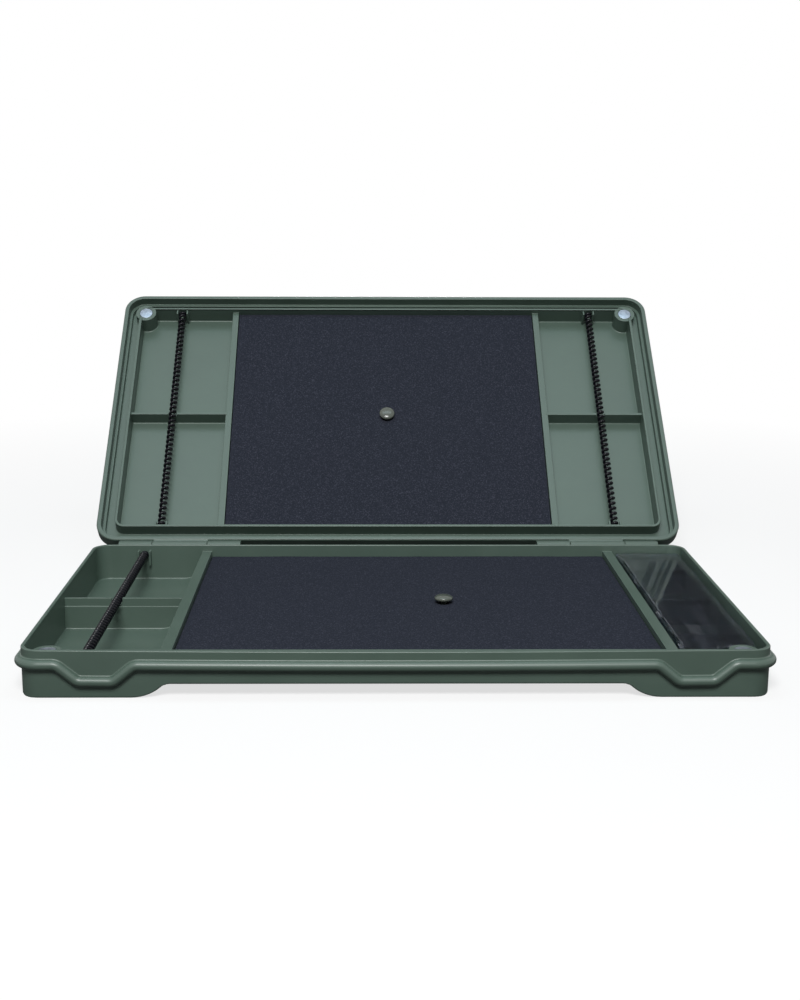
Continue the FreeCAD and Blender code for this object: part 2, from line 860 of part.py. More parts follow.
def make_base_shell():
    cavity = cut("base_hollow", make_base_cavity(), fuse("base_fittings", base_fittings()))
    walls = cut("base_walls", make_base_block(), cavity)
    solids = [walls, make_base_bead()]
    holes = []
    for side, where in ((-1, "left"), (1, "right")):
        middle, half_lid, near, far = hinge_spans(side)
        solids += base_knuckle("base_knuckle_%s_a" % where, middle - far, middle - near)
        solids += base_knuckle("base_knuckle_%s_b" % where, middle + near, middle + far)
        holes.append(
            cylinder(
                "base_pin_hole_" + where,
                size.pin_size / 2,
                far * 2 + size.overrun * 2,
                middle - far - size.overrun,
                hinge_y,
                hinge_height,
                axis="X",
            )
        )
        holes.append(
            cylinder(
                "base_magnet_seat_" + where,
                size.magnet_size / 2 + size.magnet_fit,
                size.magnet_thick + size.overrun,
                post_x * side,
                -post_y,
                post_top - size.magnet_thick,
            )
        )
    holes.append(
        cylinder(
            "base_stud_hole",
            size.stud_shank / 2,
            size.stud_grip + size.overrun,
            size.stud_place,
            size.stud_back,
            foam_seat + size.foam_thick - size.stud_grip,
        )
    )
    holes += notch(
        "divider_notch",
        spring_x,
        -size.divider_foot,
        size.divider_foot,
        spring_axis,
        size.base_height,
    )
    shell = cut("base_shell", fuse("base_solids", solids), fuse("base_holes", holes))
    return shell


# Lid of the case


def lid_rectangle(inset, corner):
    return rounded_rectangle(
        inset - half_width, half_width - inset, inset - half_depth, half_depth - inset, corner
    )


def make_lid_block():
    body = new_body("lid_block")
    border = new_sketch(body, "lid_border", "XY_Plane", -size.lid_shoulder)
    draw(border, lid_rectangle(0.0, size.case_corner))
    pad(body, "lid_border_pad", border, size.lid_shoulder)
    panel = new_sketch(body, "lid_panel", "XY_Plane", -size.lid_height)
    draw(panel, lid_rectangle(lid_panel_inset, lid_panel_corner))
    pad(body, "lid_panel_pad", panel, size.lid_height - size.lid_shoulder + size.overrun)

    def outside_at(height):
        return lambda edge: is_level(edge, height) and on_case_outline(edge)

    panel_edge = -size.lid_height
    chamfer(body, "lid_panel_edge", lambda edge: is_level(edge, panel_edge), size.lid_panel_bevel)
    chamfer(body, "lid_outer_edge", outside_at(-size.lid_shoulder), size.lid_edge_bevel)
    chamfer(body, "lid_rim_edge", outside_at(0.0), size.rim_bevel)
    return body


def lid_fittings():
    deep = -size.lid_height
    far = tray_y + size.overrun
    ring = new_body("lid_tray_wall")
    sketch = new_sketch(ring, "lid_tray_wall_plan", "XY_Plane", deep)
    draw(sketch, lid_rectangle(size.lid_tray_inset, size.lid_tray_corner))
    draw(sketch, lid_rectangle(size.lid_tray_inset + size.lid_tray_wall, tray_corner))
    pad(ring, "lid_tray_wall_pad", sketch, size.lid_height - size.lid_lip_drop)
    things = [
        ring,
        cylinder(
            "lid_stud_socket",
            size.stud_shank / 2 + size.socket_wall,
            size.lid_height - size.lid_foam_drop - size.socket_drop,
            0.0,
            0.0,
            deep,
        ),
    ]
    for side, where in ((-1, "left"), (1, "right")):
        low, high = span(lid_strip_inner * side, lid_strip_outer * side)
        things.append(box("lid_strip_" + where, low, high, -far, far, deep, -size.lid_strip_drop))
        low, high = span((lid_strip_outer - size.overrun) * side, (tray_x + size.overrun) * side)
        things.append(
            box(
                "lid_divider_" + where,
                low,
                high,
                -size.divider_thick / 2,
                size.divider_thick / 2,
                deep,
                -size.lid_divider_drop,
            )
        )
        things.append(
            cylinder(
                "lid_post_" + where,
                size.post_radius,
                size.lid_height - size.lid_post_drop,
                post_x * side,
                post_y,
                deep,
            )
        )
        things += spring_pegs(
            "lid_spring_peg_" + where, lid_spring_x * side, tray_y, -size.lid_spring_drop
        )
        things += guide_ribs(
            "lid_guide_" + where,
            lid_spring_x * side,
            tray_y,
            -size.lid_spring_drop + size.spring_size / 2,
            -size.lid_spring_drop + size.spring_size / 2 - size.guide_height,
        )
    return things


def make_lid_hollow():
    rim_corner = size.case_corner - size.lid_wall
    rim = slab(
        "lid_rim_hollow",
        lid_rectangle(size.lid_wall, rim_corner),
        -size.lid_ledge_depth,
        size.lid_ledge_depth + size.overrun,
    )
    gutter_inset = size.lid_wall + size.lid_ledge
    gutter = slab(
        "lid_gutter",
        lid_rectangle(gutter_inset, size.case_corner - gutter_inset),
        -size.lid_gutter_depth,
        size.lid_gutter_depth,
    )
    tray = slab(
        "lid_tray_hollow",
        lid_rectangle(size.lid_tray_inset + size.lid_tray_wall, tray_corner),
        -size.lid_tray_depth,
        size.lid_tray_depth,
    )
    return cut(
        "lid_hollow", fuse("lid_hollows", [rim, gutter, tray]), fuse("lid_fittings", lid_fittings())
    )


# A knuckle of the lid with its web to the lid's back wall, in the lid's frame.
def lid_knuckle(name, left, right):
    body = new_body(name)
    sketch = new_sketch(body, name + "_side", "YZ_Plane", left)
    inside = size.lid_wall / 2 - half_depth
    draw(
        sketch,
        [
            (-hinge_y - size.knuckle_radius, rim_rise),
            (-hinge_y, rim_rise + size.knuckle_radius / 2),
            (-hinge_y + size.knuckle_radius / 2, -size.rim_bevel / 2),
            (inside, -size.rim_bevel / 2),
            (inside, -size.web_height),
            (-half_depth, -size.web_height),
        ],
    )
    pad(body, name + "_pad", sketch, right - left)
    barrel = cylinder(
        name + "_barrel", size.knuckle_radius, right - left, left, -hinge_y, rim_rise, axis="X"
    )
    return [body, barrel]


def make_lid_shell():
    walls = cut("lid_walls", make_lid_block(), make_lid_hollow())
    solids = [walls]
    holes = [
        cylinder(
            "lid_stud_hole",
            size.stud_shank / 2,
            size.stud_grip + size.overrun,
            0.0,
            0.0,
            -size.lid_foam_drop - size.stud_grip,
        )
    ]
    for side, where in ((-1, "left"), (1, "right")):
        middle, half_lid, near, far = hinge_spans(side)
        solids += lid_knuckle("lid_knuckle_" + where, middle - half_lid, middle + half_lid)
        holes.append(
            cylinder(
                "lid_pin_hole_" + where,
                size.pin_size / 2 + size.pin_play,
                size.lid_knuckle + size.overrun * 2,
                middle - half_lid - size.overrun,
                -hinge_y,
                rim_rise,
                axis="X",
            )
        )
        holes.append(
            cylinder(
                "lid_magnet_seat_" + where,
                size.magnet_size / 2 + size.magnet_fit,
                size.magnet_thick + size.overrun,
                post_x * side,
                post_y,
                -size.lid_post_drop - size.magnet_thick,
            )
        )
        holes += notch(
            "lid_divider_notch_" + where,
            lid_spring_x * side,
            -size.divider_foot,
            size.divider_foot,
            -size.lid_spring_drop,
            size.seat_gap,
        )
    return cut("lid_shell", fuse("lid_solids", solids), fuse("lid_holes", holes))


# Foam boards, studs, magnets and pins


def make_foam_board(name, left, right, half, bottom, top, stud_x, stud_y):
    body = new_body(name)
    sketch = new_sketch(body, name + "_plan", "XY_Plane", bottom)
    fit = size.foam_fit
    draw(sketch, rectangle(left + fit, right - fit, fit - half, half - fit))
    add_circle(sketch, size.stud_shank / 2 + size.socket_wall + fit, stud_x, stud_y)
    pad(body, name + "_pad", sketch, top - bottom)
    return body


def add_circle(sketch, radius, x, y):
    centre = FreeCAD.Vector(float(x), float(y), 0)
    circle = sketch.addGeometry(Part.Circle(centre, FreeCAD.Vector(0, 0, 1), float(radius)), False)
    set_datum(sketch, "Radius", (circle,), radius)
    fix_point(sketch, circle, 3, x, y)


# A stud, drawn with the underside of its head at the origin.
def make_stud(name):
    head = size.stud_head / 2
    shank = size.stud_shank / 2
    crown = size.stud_crown / 2
    top = size.stud_edge + size.stud_dome
    body = new_body(name)
    sketch = new_sketch(body, name + "_profile", "XZ_Plane")
    draw(
        sketch,
        [
            (0, -size.stud_grip),
            (shank, -size.stud_grip),
            (shank, 0),
            (head, 0),
            (head, size.stud_edge),
            (crown, top),
            (0, top),
        ],
    )
    turn_profile(body, name + "_turn", sketch)
    return body


def make_magnet(name):
    body = new_body(name)
    sketch = new_sketch(body, name + "_plan", "XY_Plane")
    add_circle(sketch, size.magnet_size / 2, 0, 0)
    pad(body, name + "_pad", sketch, size.magnet_thick)
    return body


def make_hinge_pin(name, side):
    middle, half_lid, near, far = hinge_spans(side)
    body = new_body(name)
    sketch = new_sketch(body, name + "_section", "YZ_Plane", middle - far + size.knuckle_gap)
    add_circle(sketch, size.pin_size / 2, hinge_y, hinge_height)
    pad(body, name + "_pad", sketch, (far - size.knuckle_gap) * 2)
    return body


# Springs


# Two arcs that meet with one tangent, from one point and direction to another.
def biarc(start, start_way, end, end_way):
    across = end - start
    both = start_way + end_way
    twist = 2 * (1 - start_way.dot(end_way))
    along = across.dot(both)
    if twist < 1e-9:
        reach = across.dot(across) / (2 * along)
    else:
        reach = (-along + math.sqrt(along * along + twist * across.dot(across))) / twist
    near = start + start_way * reach
    far = end - end_way * reach
    joint = (near + far) * 0.5
    return [arc_from(start, start_way, joint), arc_to(joint, end, end_way)]


def arc_from(start, way, end):
    chord = end - start
    flat = FreeCAD.Vector(chord).normalize()
    lean_way = (flat + way).normalize()
    half_angle = math.acos(max(-1.0, min(1.0, flat.dot(way)))) / 2
    middle = start + lean_way * (chord.Length / 2 / math.cos(half_angle))
    return Part.Arc(start, middle, end).toShape()


def arc_to(start, end, way):
    reverse = arc_from(end, way * -1, start)
    first, last = reverse.ParameterRange
    return Part.Arc(start, reverse.valueAt((first + last) / 2), end).toShape()


# The route of a spring's wire along Y, between two walls at equal distances from the middle.
# It starts and ends square to the walls, below the spring's axis.
def spring_route(wall):
    length = 2 * float(wall - size.spring_bend - size.spring_lead)
    curls = int(round(float(size.spring_curls)))
    radius = float(spring_middle)
    bend = float(size.spring_bend)
    pitch = length / curls
    round_once = 2 * math.pi * radius
    whole = math.hypot(pitch, round_once)
    rise = pitch / whole
    circling = round_once / whole
    along = FreeCAD.Vector(0, 1, 0)

    def helix(turns):
        angle = 2 * math.pi * turns
        place = FreeCAD.Vector(
            radius * math.sin(angle), pitch * turns - length / 2, -radius * math.cos(angle)
        )
        way = FreeCAD.Vector(
            circling * math.cos(angle), rise, circling * math.sin(angle)
        )
        return place, way

    first, first_way = helix(0)
    last, last_way = helix(curls)
    sideways = FreeCAD.Vector(1, 0, 0)
    inset = bend * (1 - rise)
    front_bend = first - sideways * inset - along * (bend * circling)
    back_bend = last + sideways * inset + along * (bend * circling)
    edge = float(wall)
    front_end = FreeCAD.Vector(front_bend.x, -edge, front_bend.z)
    back_end = FreeCAD.Vector(back_bend.x, edge, back_bend.z)
    edges = [Part.LineSegment(front_end, front_bend).toShape()]
    edges.append(arc_from(front_bend, along, first))
    for half in range(2 * curls):
        start, start_way = helix(half / 2)
        end, end_way = helix((half + 1) / 2)
        edges += biarc(start, start_way, end, end_way)
    edges.append(arc_from(last, last_way, back_bend))
    edges.append(Part.LineSegment(back_bend, back_end).toShape())
    return Part.Wire(edges)


def least_gap(route):
    points = route.discretize(Distance=0.35)
    skip = int(float(spring_middle) * math.pi / 0.35)
    nearest = min(
        (points[i] - points[k]).Length
        for i in range(0, len(points), 2)
        for k in range(i + skip, min(len(points), i + 6 * skip), 2)
    )
    return nearest - float(size.wire)


def make_spring(name, wall):
    route = spring_route(wall)
    start = route.Edges[0].valueAt(route.Edges[0].FirstParameter)
    sides = int(round(float(size.wire_sides)))
    radius = float(size.wire) / 2
    corners = []
    for side in range(sides + 1):
        angle = 2 * math.pi * side / sides
        corners.append(
            start + FreeCAD.Vector(radius * math.cos(angle), 0, radius * math.sin(angle))
        )
    section = Part.makePolygon(corners)
    spring = doc.addObject("Part::Feature", name)
    spring.Shape = route.makePipeShell([section], True, False)
    print("%s: least gap to itself %.2f mm" % (name, least_gap(route)))
    return spring


# Tackle box


tackle_right = inner_x - size.tackle_side
tackle_left = right_strip_right + size.tackle_strip_gap
tackle_half = inner_y - size.tackle_end_gap
tackle_bottom = size.base_floor
tackle_top = divider_top - size.tackle_drop
tackle_axis = tackle_top + size.tackle_axis_rise
tackle_axis_x = tackle_left - size.tackle_axis_out
plate_left = tackle_axis_x + size.plate_hinge_edge
plate_bottom = tackle_top + size.plate_gap
plate_top = plate_bottom + size.lid_plate


# The tray's outline in plan, drawn in by a margin, without the corner round the magnet post.
def notched_outline(left, right, front, back, corner, grow):
    notch_left = post_x - size.post_radius - size.notch_side_gap - grow
    notch_back = size.post_radius + size.notch_back_gap - post_y + grow
    inner = corner + grow
    return [
        (left + corner, front),
        (notch_left - corner, front, corner),
        (notch_left, front + corner),
        (notch_left, notch_back - inner, -inner),
        (notch_left + inner, notch_back),
        (right - corner, notch_back, corner),
        (right, notch_back + corner),
        (right, back - corner, corner),
        (right - corner, back),
        (left + corner, back, corner),
        (left, back - corner),
        (left, front + corner, corner),
    ]


# Each hinge of the tackle box is a rod on an arm of its lid, with one end in an ear of its tray.
# The ears of the front pair are in front of the arms and those of the back pair behind them.
HINGE_PLACES = [
    ("front", size.outer_hinge - tackle_half, -1),
    ("front_middle", -size.inner_hinge, -1),
    ("back_middle", size.inner_hinge, 1),
    ("back", tackle_half - size.outer_hinge, 1),
]


def make_tackle_tray():
    body = new_body("tackle_tray_moulding")
    plan = new_sketch(body, "tackle_tray_plan", "XY_Plane", tackle_bottom)
    draw(
        plan,
        notched_outline(
            tackle_left, tackle_right, -tackle_half, tackle_half, size.tackle_corner, 0.0
        ),
    )
    pad(body, "tackle_tray_pad", plan, tackle_top - tackle_bottom)
    wall = size.tackle_wall
    corner = size.tackle_corner - wall / 2
    cells = new_sketch(body, "tackle_cells", "XY_Plane", tackle_top)
    left = tackle_left + wall
    right = tackle_right - wall
    lines = [size.end_cell - tackle_half, 0.0, tackle_half - size.end_cell]
    draw(
        cells,
        notched_outline(
            left, right, wall - tackle_half, lines[0] - wall / 2, corner, wall
        ),
    )
    for front, back in ((lines[0], lines[1]), (lines[1], lines[2])):
        draw(cells, rounded_rectangle(left, right, front + wall / 2, back - wall / 2, corner))
    draw(
        cells,
        rounded_rectangle(left, right, lines[2] + wall / 2, tackle_half - wall, corner),
    )
    pocket(body, "tackle_cells_pocket", cells, tackle_top - tackle_bottom - wall)
    things = [body]
    holes = []
    reach = size.arm_width / 2 + size.ear_gap
    for where, y, side in HINGE_PLACES:
        low, high = span(y + reach * side, y + (reach + size.ear_thick) * side)
        things.append(
            box(
                "ear_" + where,
                tackle_axis_x - size.ear_reach,
                tackle_left + wall / 2,
                low,
                high,
                tackle_axis - size.ear_drop,
                tackle_axis + size.ear_reach,
            )
        )
        holes.append(
            cylinder(
                "ear_hole_" + where,
                size.rod_radius + size.rod_play,
                high - low + size.overrun * 2,
                tackle_axis_x,
                low - size.overrun,
                tackle_axis,
                axis="Y",
            )
        )
    return cut("tackle_box_tray", fuse("tackle_tray_solids", things), fuse("tackle_ear_holes", holes))


def make_tackle_lid():
    body = new_body("tackle_lid_plate")
    plan = new_sketch(body, "tackle_lid_plan", "XY_Plane", plate_bottom)
    draw(
        plan,
        notched_outline(
            plate_left, tackle_right, -tackle_half, tackle_half, size.tackle_corner, 0.0
        ),
    )
    pad(body, "tackle_lid_pad", plan, size.lid_plate)
    field = new_sketch(body, "tackle_lid_field", "XY_Plane", plate_top)
    border = size.plate_border
    draw(
        field,
        notched_outline(
            plate_left + border,
            tackle_right - border,
            border - tackle_half,
            tackle_half - border,
            size.tackle_corner / 2,
            border,
        ),
    )
    pocket(body, "tackle_lid_recess", field, size.plate_recess)
    things = [body]
    half = size.arm_width / 2
    for where, y, side in HINGE_PLACES:
        low, high = span(y - half * side, y + (half + size.ear_gap + size.ear_thick) * side)
        things.append(
            cylinder(
                "rod_" + where,
                size.rod_radius,
                high - low,
                tackle_axis_x,
                low,
                tackle_axis,
                axis="Y",
            )
        )
        things.append(
            box(
                "arm_" + where,
                tackle_axis_x,
                plate_left + size.overrun,
                y - half,
                y + half,
                plate_bottom,
                tackle_axis - size.plate_gap,
            )
        )
    return fuse("tackle_box_lid", things)


# Placements and output

lean_middle = size.hinge_back + half_depth
lid_y = base_shift + hinge_y + lean_middle * cosine(lean) + rim_rise * sine(lean)
lid_z = hinge_height + lean_middle * sine(lean) - rim_rise * cosine(lean)

nodes = {}


def place_in_base(name, thing, x=0.0, y=0.0, z=0.0):
    thing.Label = name
    set_place(thing, x, base_shift + y, z)
    nodes[name] = thing


# A piece of the lid: its place in the lid's frame, turned with the lid about the hinge.
def place_in_lid(name, thing, x=0.0, y=0.0, z=0.0):
    thing.Label = name
    turn = FreeCAD.Rotation(FreeCAD.Vector(1, 0, 0), float(lean))
    thing.Placement = FreeCAD.Placement(FreeCAD.Vector(), turn)
    thing.setExpression("Placement.Rotation.Angle", lean.formula)
    set_place(
        thing,
        x,
        lid_y + y * cosine(lean) - z * sine(lean),
        lid_z + y * sine(lean) + z * cosine(lean),
    )
    nodes[name] = thing


place_in_base("base_shell", make_base_shell())
place_in_base(
    "base_foam_board",
    make_foam_board(
        "base_foam_board",
        left_strip_right,
        right_strip_left,
        inner_y,
        foam_seat,
        foam_seat + size.foam_thick,
        size.stud_place,
        size.stud_back,
    ),
)
place_in_base(
    "base_foam_stud",
    make_stud("base_foam_stud"),
    size.stud_place,
    size.stud_back,
    foam_seat + size.foam_thick,
)
for side, where in ((-1, "left"), (1, "right")):
    place_in_base(
        "base_magnet_" + where,
        make_magnet("base_magnet_" + where),
        post_x * side,
        -post_y,
        post_top - size.magnet_thick,
    )
    place_in_base("hinge_pin_" + where, make_hinge_pin("hinge_pin_" + where, side))
place_in_base(
    "base_spring", make_spring("base_spring", inner_y), spring_x, 0.0, spring_axis
)
place_in_base("tackle_box_tray", make_tackle_tray())
place_in_base("tackle_box_lid", make_tackle_lid())

place_in_lid("lid_shell", make_lid_shell())
place_in_lid(
    "lid_foam_board",
    make_foam_board(
        "lid_foam_board",
        -lid_strip_inner,
        lid_strip_inner,
        tray_y,
        -size.lid_tray_depth,
        -size.lid_foam_drop,
        0.0,
        0.0,
    ),
)
place_in_lid("lid_foam_stud", make_stud("lid_foam_stud"), 0.0, 0.0, -size.lid_foam_drop)
for side, where in ((-1, "left"), (1, "right")):
    place_in_lid(
        "lid_magnet_" + where,
        make_magnet("lid_magnet_" + where),
        post_x * side,
        post_y,
        -size.lid_post_drop - size.magnet_thick,
    )
    place_in_lid(
        "lid_spring_" + where,
        make_spring("lid_spring_" + where, tray_y),
        lid_spring_x * side,
        0.0,
        -size.lid_spring_drop,
    )

doc.recompute()

for thing in doc.Objects:
    if "Invalid" in thing.State or "Error" in thing.State:
        raise RuntimeError("%s: %s" % (thing.Name, thing.State))
for name, thing in nodes.items():
    if thing.Shape.isNull() or not thing.Shape.isValid():
        raise RuntimeError("%s has no valid shape" % name)

os.makedirs("parts", exist_ok=True)
for name, thing in nodes.items():
    thing.Shape.exportStep("parts/%s.step" % name)
    print("%-18s %2d solid %10.1f mm3" % (name, len(thing.Shape.Solids), thing.Shape.Volume))
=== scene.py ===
import math

import bmesh
import bpy
from mathutils import Matrix, Vector


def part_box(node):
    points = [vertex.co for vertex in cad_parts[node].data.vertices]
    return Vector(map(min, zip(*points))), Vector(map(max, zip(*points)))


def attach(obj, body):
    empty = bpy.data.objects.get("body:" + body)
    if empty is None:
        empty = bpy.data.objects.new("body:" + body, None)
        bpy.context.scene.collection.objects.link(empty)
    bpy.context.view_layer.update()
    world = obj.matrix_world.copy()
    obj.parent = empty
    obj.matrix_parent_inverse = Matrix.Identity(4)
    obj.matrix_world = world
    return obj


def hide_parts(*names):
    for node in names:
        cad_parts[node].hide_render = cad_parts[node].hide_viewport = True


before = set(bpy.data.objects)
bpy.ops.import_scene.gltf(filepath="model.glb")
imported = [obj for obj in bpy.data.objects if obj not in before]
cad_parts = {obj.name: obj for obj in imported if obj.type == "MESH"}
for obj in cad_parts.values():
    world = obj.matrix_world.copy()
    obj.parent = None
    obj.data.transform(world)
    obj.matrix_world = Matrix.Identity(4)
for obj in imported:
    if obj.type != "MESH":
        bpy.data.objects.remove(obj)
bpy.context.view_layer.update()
print("frame loaded")

mm = 0.001

# The base's own frame has its origin on the table under the middle of the case. The lid stands
# open about the hinge, and its own frame lies in its rim: Y to the front edge, Z out of the tray.
case = {
    "depth": 211 * mm,
    "lean": math.radians(41.7),
    "hingeBack": 5.55 * mm,
    "rimRise": 0.7 * mm,
}
pinLow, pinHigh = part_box("hinge_pin_left")
hingeY = (pinLow.y + pinHigh.y) / 2
hingeZ = (pinLow.z + pinHigh.z) / 2
baseY = hingeY - case["hingeBack"] - case["depth"] / 2
leanTurn = Matrix.Rotation(case["lean"], 4, "X")
lidShift = Matrix.Translation((0, case["hingeBack"] + case["depth"] / 2, -case["rimRise"]))
lidPlace = Matrix.Translation((0, hingeY, hingeZ)) @ leanTurn @ lidShift
basePlace = Matrix.Translation(Vector((0, baseY, 0)))


def deselectAll():
    if bpy.context.object and bpy.context.object.mode != "OBJECT":
        bpy.ops.object.mode_set(mode="OBJECT")
    bpy.ops.object.select_all(action="DESELECT")


def activate(piece):
    deselectAll()
    piece.select_set(True)
    bpy.context.view_layer.objects.active = piece


def applyAll(piece):
    activate(piece)
    for modifier in list(piece.modifiers):
        bpy.ops.object.modifier_apply(modifier=modifier.name)


def editAll(piece):
    activate(piece)
    bpy.ops.object.mode_set(mode="EDIT")
    bpy.ops.mesh.select_all(action="SELECT")


# Turns all faces outward and leaves edit mode
def faceOutward():
    bpy.ops.mesh.select_all(action="SELECT")
    bpy.ops.mesh.normals_make_consistent(inside=False)
    bpy.ops.object.mode_set(mode="OBJECT")


def addBevel(piece, width, degrees):
    bevel = piece.modifiers.new("edges", "BEVEL")
    bevel.width = width
    bevel.segments = 3
    bevel.limit_method = "ANGLE"
    bevel.angle_limit = math.radians(degrees)


def placeMesh(piece, place):
    activate(piece)
    bpy.ops.object.transform_apply(location=True, rotation=True, scale=True)
    piece.data.transform(place)
    piece.data.update()


def finishPiece(piece, name, body, material, nodes=()):
    piece.name = name
    piece.data.name = name
    piece.data.materials.clear()
    piece.data.materials.append(material)
    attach(piece, body)
    if nodes:
        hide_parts(*nodes)
    return piece


def smooth(piece, degrees):
    activate(piece)
    bpy.ops.object.shade_smooth_by_angle(angle=math.radians(degrees))


# The box of a CAD node in the base's or the lid's own frame
def ownBox(node, place):
    inverse = place.inverted()
    spots = [inverse @ vertex.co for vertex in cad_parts[node].data.vertices]
    low = Vector([min(spot[axis] for spot in spots) for axis in range(3)])
    high = Vector([max(spot[axis] for spot in spots) for axis in range(3)])
    return low, high


# Selects the edges of a piece in edit mode. The test gets each edge's middle and its two faces'
# normals in the piece's own frame, in millimetres, and its bend in degrees, negative in a hollow.
def selectEdges(piece, place, wanted):
    activate(piece)
    bpy.ops.object.mode_set(mode="EDIT")
    bpy.ops.mesh.select_mode(type="EDGE")
    bpy.ops.mesh.select_all(action="DESELECT")
    shape = bmesh.from_edit_mesh(piece.data)
    inverse = place.inverted()
    turn = inverse.to_3x3()
    chosen = 0
    for edge in shape.edges:
        if len(edge.link_faces) == 2:
            middle = inverse @ ((edge.verts[0].co + edge.verts[1].co) / 2) / mm
            bend = math.degrees(edge.calc_face_angle_signed())
            normals = [turn @ face.normal for face in edge.link_faces]
            if wanted(middle, bend, normals):
                edge.select = True
                chosen += 1
    shape.select_flush_mode()
    bmesh.update_edit_mesh(piece.data)
    return chosen


def selectSpots(piece, place, wanted):
    activate(piece)
    bpy.ops.object.mode_set(mode="EDIT")
    bpy.ops.mesh.select_mode(type="VERT")
    bpy.ops.mesh.select_all(action="DESELECT")
    shape = bmesh.from_edit_mesh(piece.data)
    inverse = place.inverted()
    for vertex in shape.verts:
        if wanted(inverse @ vertex.co / mm):
            vertex.select = True
    shape.select_flush_mode()
    bmesh.update_edit_mesh(piece.data)


# Materials


def newMaterial(name):
    material = bpy.data.materials.new(name)
    material.use_nodes = True
    nodes = material.node_tree.nodes
    shader = nodes["Principled BSDF"]
    shader.location = (0, 0)
    nodes["Material Output"].location = (300, 0)
    return material, nodes, material.node_tree.links, shader


def objectCoords(nodes, x=-1400, y=0):
    coords = nodes.new("ShaderNodeTexCoord")
    coords.location = (x, y)
    return coords.outputs["Object"]


def colourMix(nodes, links, factor, low, high, x=-400, y=200):
    mix = nodes.new("ShaderNodeMix")
    mix.data_type = "RGBA"
    mix.location = (x, y)
    links.new(factor, mix.inputs["Factor"])
    for socket, colour in ((mix.inputs[6], low), (mix.inputs[7], high)):
        if isinstance(colour, tuple):
            socket.default_value = (*colour, 1)
        else:
            links.new(colour, socket)
    return mix.outputs[2]


def rescale(nodes, links, value, low, high, toLow, toHigh, x=-600, y=0):
    ramp = nodes.new("ShaderNodeMapRange")
    ramp.location = (x, y)
    links.new(value, ramp.inputs["Value"])
    ramp.inputs["From Min"].default_value = low
    ramp.inputs["From Max"].default_value = high
    ramp.inputs["To Min"].default_value = toLow
    ramp.inputs["To Max"].default_value = toHigh
    return ramp.outputs["Result"]


grainDetail = {
    "fine": 3,
    "coarse": 5,
    "coarseRoughness": 0.6,
    "mottleRange": (0.3, 0.7),
    "bump": 0.25,
}


# Grain of a moulded or cut surface: a height for bumps, and a slow mottle for colour and gloss
def buildGrainGroup():
    group = bpy.data.node_groups.new("surfaceGrain", "ShaderNodeTree")
    for name, default in (("Grain Scale", 1500.0), ("Mottle Scale", 40.0)):
        socket = group.interface.new_socket(name, in_out="INPUT", socket_type="NodeSocketFloat")
        socket.default_value = default
    group.interface.new_socket("Vector", in_out="INPUT", socket_type="NodeSocketVector")
    for name in ("Height", "Mottle"):
        group.interface.new_socket(name, in_out="OUTPUT", socket_type="NodeSocketFloat")
    nodes, links = group.nodes, group.links
    entry = nodes.new("NodeGroupInput")
    entry.location = (-800, 0)
    leave = nodes.new("NodeGroupOutput")
    leave.location = (400, 0)
    fine = nodes.new("ShaderNodeTexNoise")
    fine.location = (-300, 150)
    fine.inputs["Detail"].default_value = grainDetail["fine"]
    coarse = nodes.new("ShaderNodeTexNoise")
    coarse.location = (-300, -150)
    coarse.inputs["Detail"].default_value = grainDetail["coarse"]
    coarse.inputs["Roughness"].default_value = grainDetail["coarseRoughness"]
    links.new(entry.outputs["Vector"], fine.inputs["Vector"])
    links.new(entry.outputs["Vector"], coarse.inputs["Vector"])
    links.new(entry.outputs["Grain Scale"], fine.inputs["Scale"])
    links.new(entry.outputs["Mottle Scale"], coarse.inputs["Scale"])
    links.new(fine.outputs["Fac"], leave.inputs["Height"])
    links.new(coarse.outputs["Fac"], leave.inputs["Mottle"])
    return group


grainGroup = buildGrainGroup()


def addGrain(nodes, links, vector, grainScale, mottleScale):
    grain = nodes.new("ShaderNodeGroup")
    grain.node_tree = grainGroup
    grain.location = (-1000, 0)
    grain.inputs["Grain Scale"].default_value = grainScale
    grain.inputs["Mottle Scale"].default_value = mottleScale
    links.new(vector, grain.inputs["Vector"])
    return grain


# The mottle spread over a wider range
def mottleTo(nodes, links, grain, toLow, toHigh, y=0):
    low, high = grainDetail["mottleRange"]
    return rescale(nodes, links, grain.outputs["Mottle"], low, high, toLow, toHigh, y=y)


def addBump(nodes, links, height, shader, strength, distance):
    bump = nodes.new("ShaderNodeBump")
    bump.location = (-300, -300)
    bump.inputs["Strength"].default_value = strength
    bump.inputs["Distance"].default_value = distance
    links.new(height, bump.inputs["Height"])
    links.new(bump.outputs["Normal"], shader.inputs["Normal"])


# A plain moulded or turned finish: two colours and two gloss levels that drift into each other
def buildFinish(name, finish):
    material, nodes, links, shader = newMaterial(name)
    coords = objectCoords(nodes)
    grain = addGrain(nodes, links, coords, finish["grainScale"], finish["mottleScale"])
    mottle = mottleTo(nodes, links, grain, 0, 1)
    colour = colourMix(nodes, links, mottle, finish["dark"], finish["light"])
    links.new(colour, shader.inputs["Base Color"])
    rough = mottleTo(nodes, links, grain, *finish["rough"], y=-200)
    links.new(rough, shader.inputs["Roughness"])
    shader.inputs["Specular IOR Level"].default_value = finish["gloss"]
    shader.inputs["Metallic"].default_value = finish["metal"]
    if finish["grainDepth"] > 0:
        height = grain.outputs["Height"]
        addBump(nodes, links, height, shader, grainDetail["bump"], finish["grainDepth"])
    return material


# Dark green moulded plastic with a fine spark texture
greenFinish = {
    "dark": (0.068, 0.104, 0.083),
    "light": (0.078, 0.118, 0.095),
    "rough": (0.35, 0.41),
    "gloss": 0.5,
    "metal": 0,
    "grainScale": 1800,
    "mottleScale": 28,
    "grainDepth": 0.03 * mm,
}

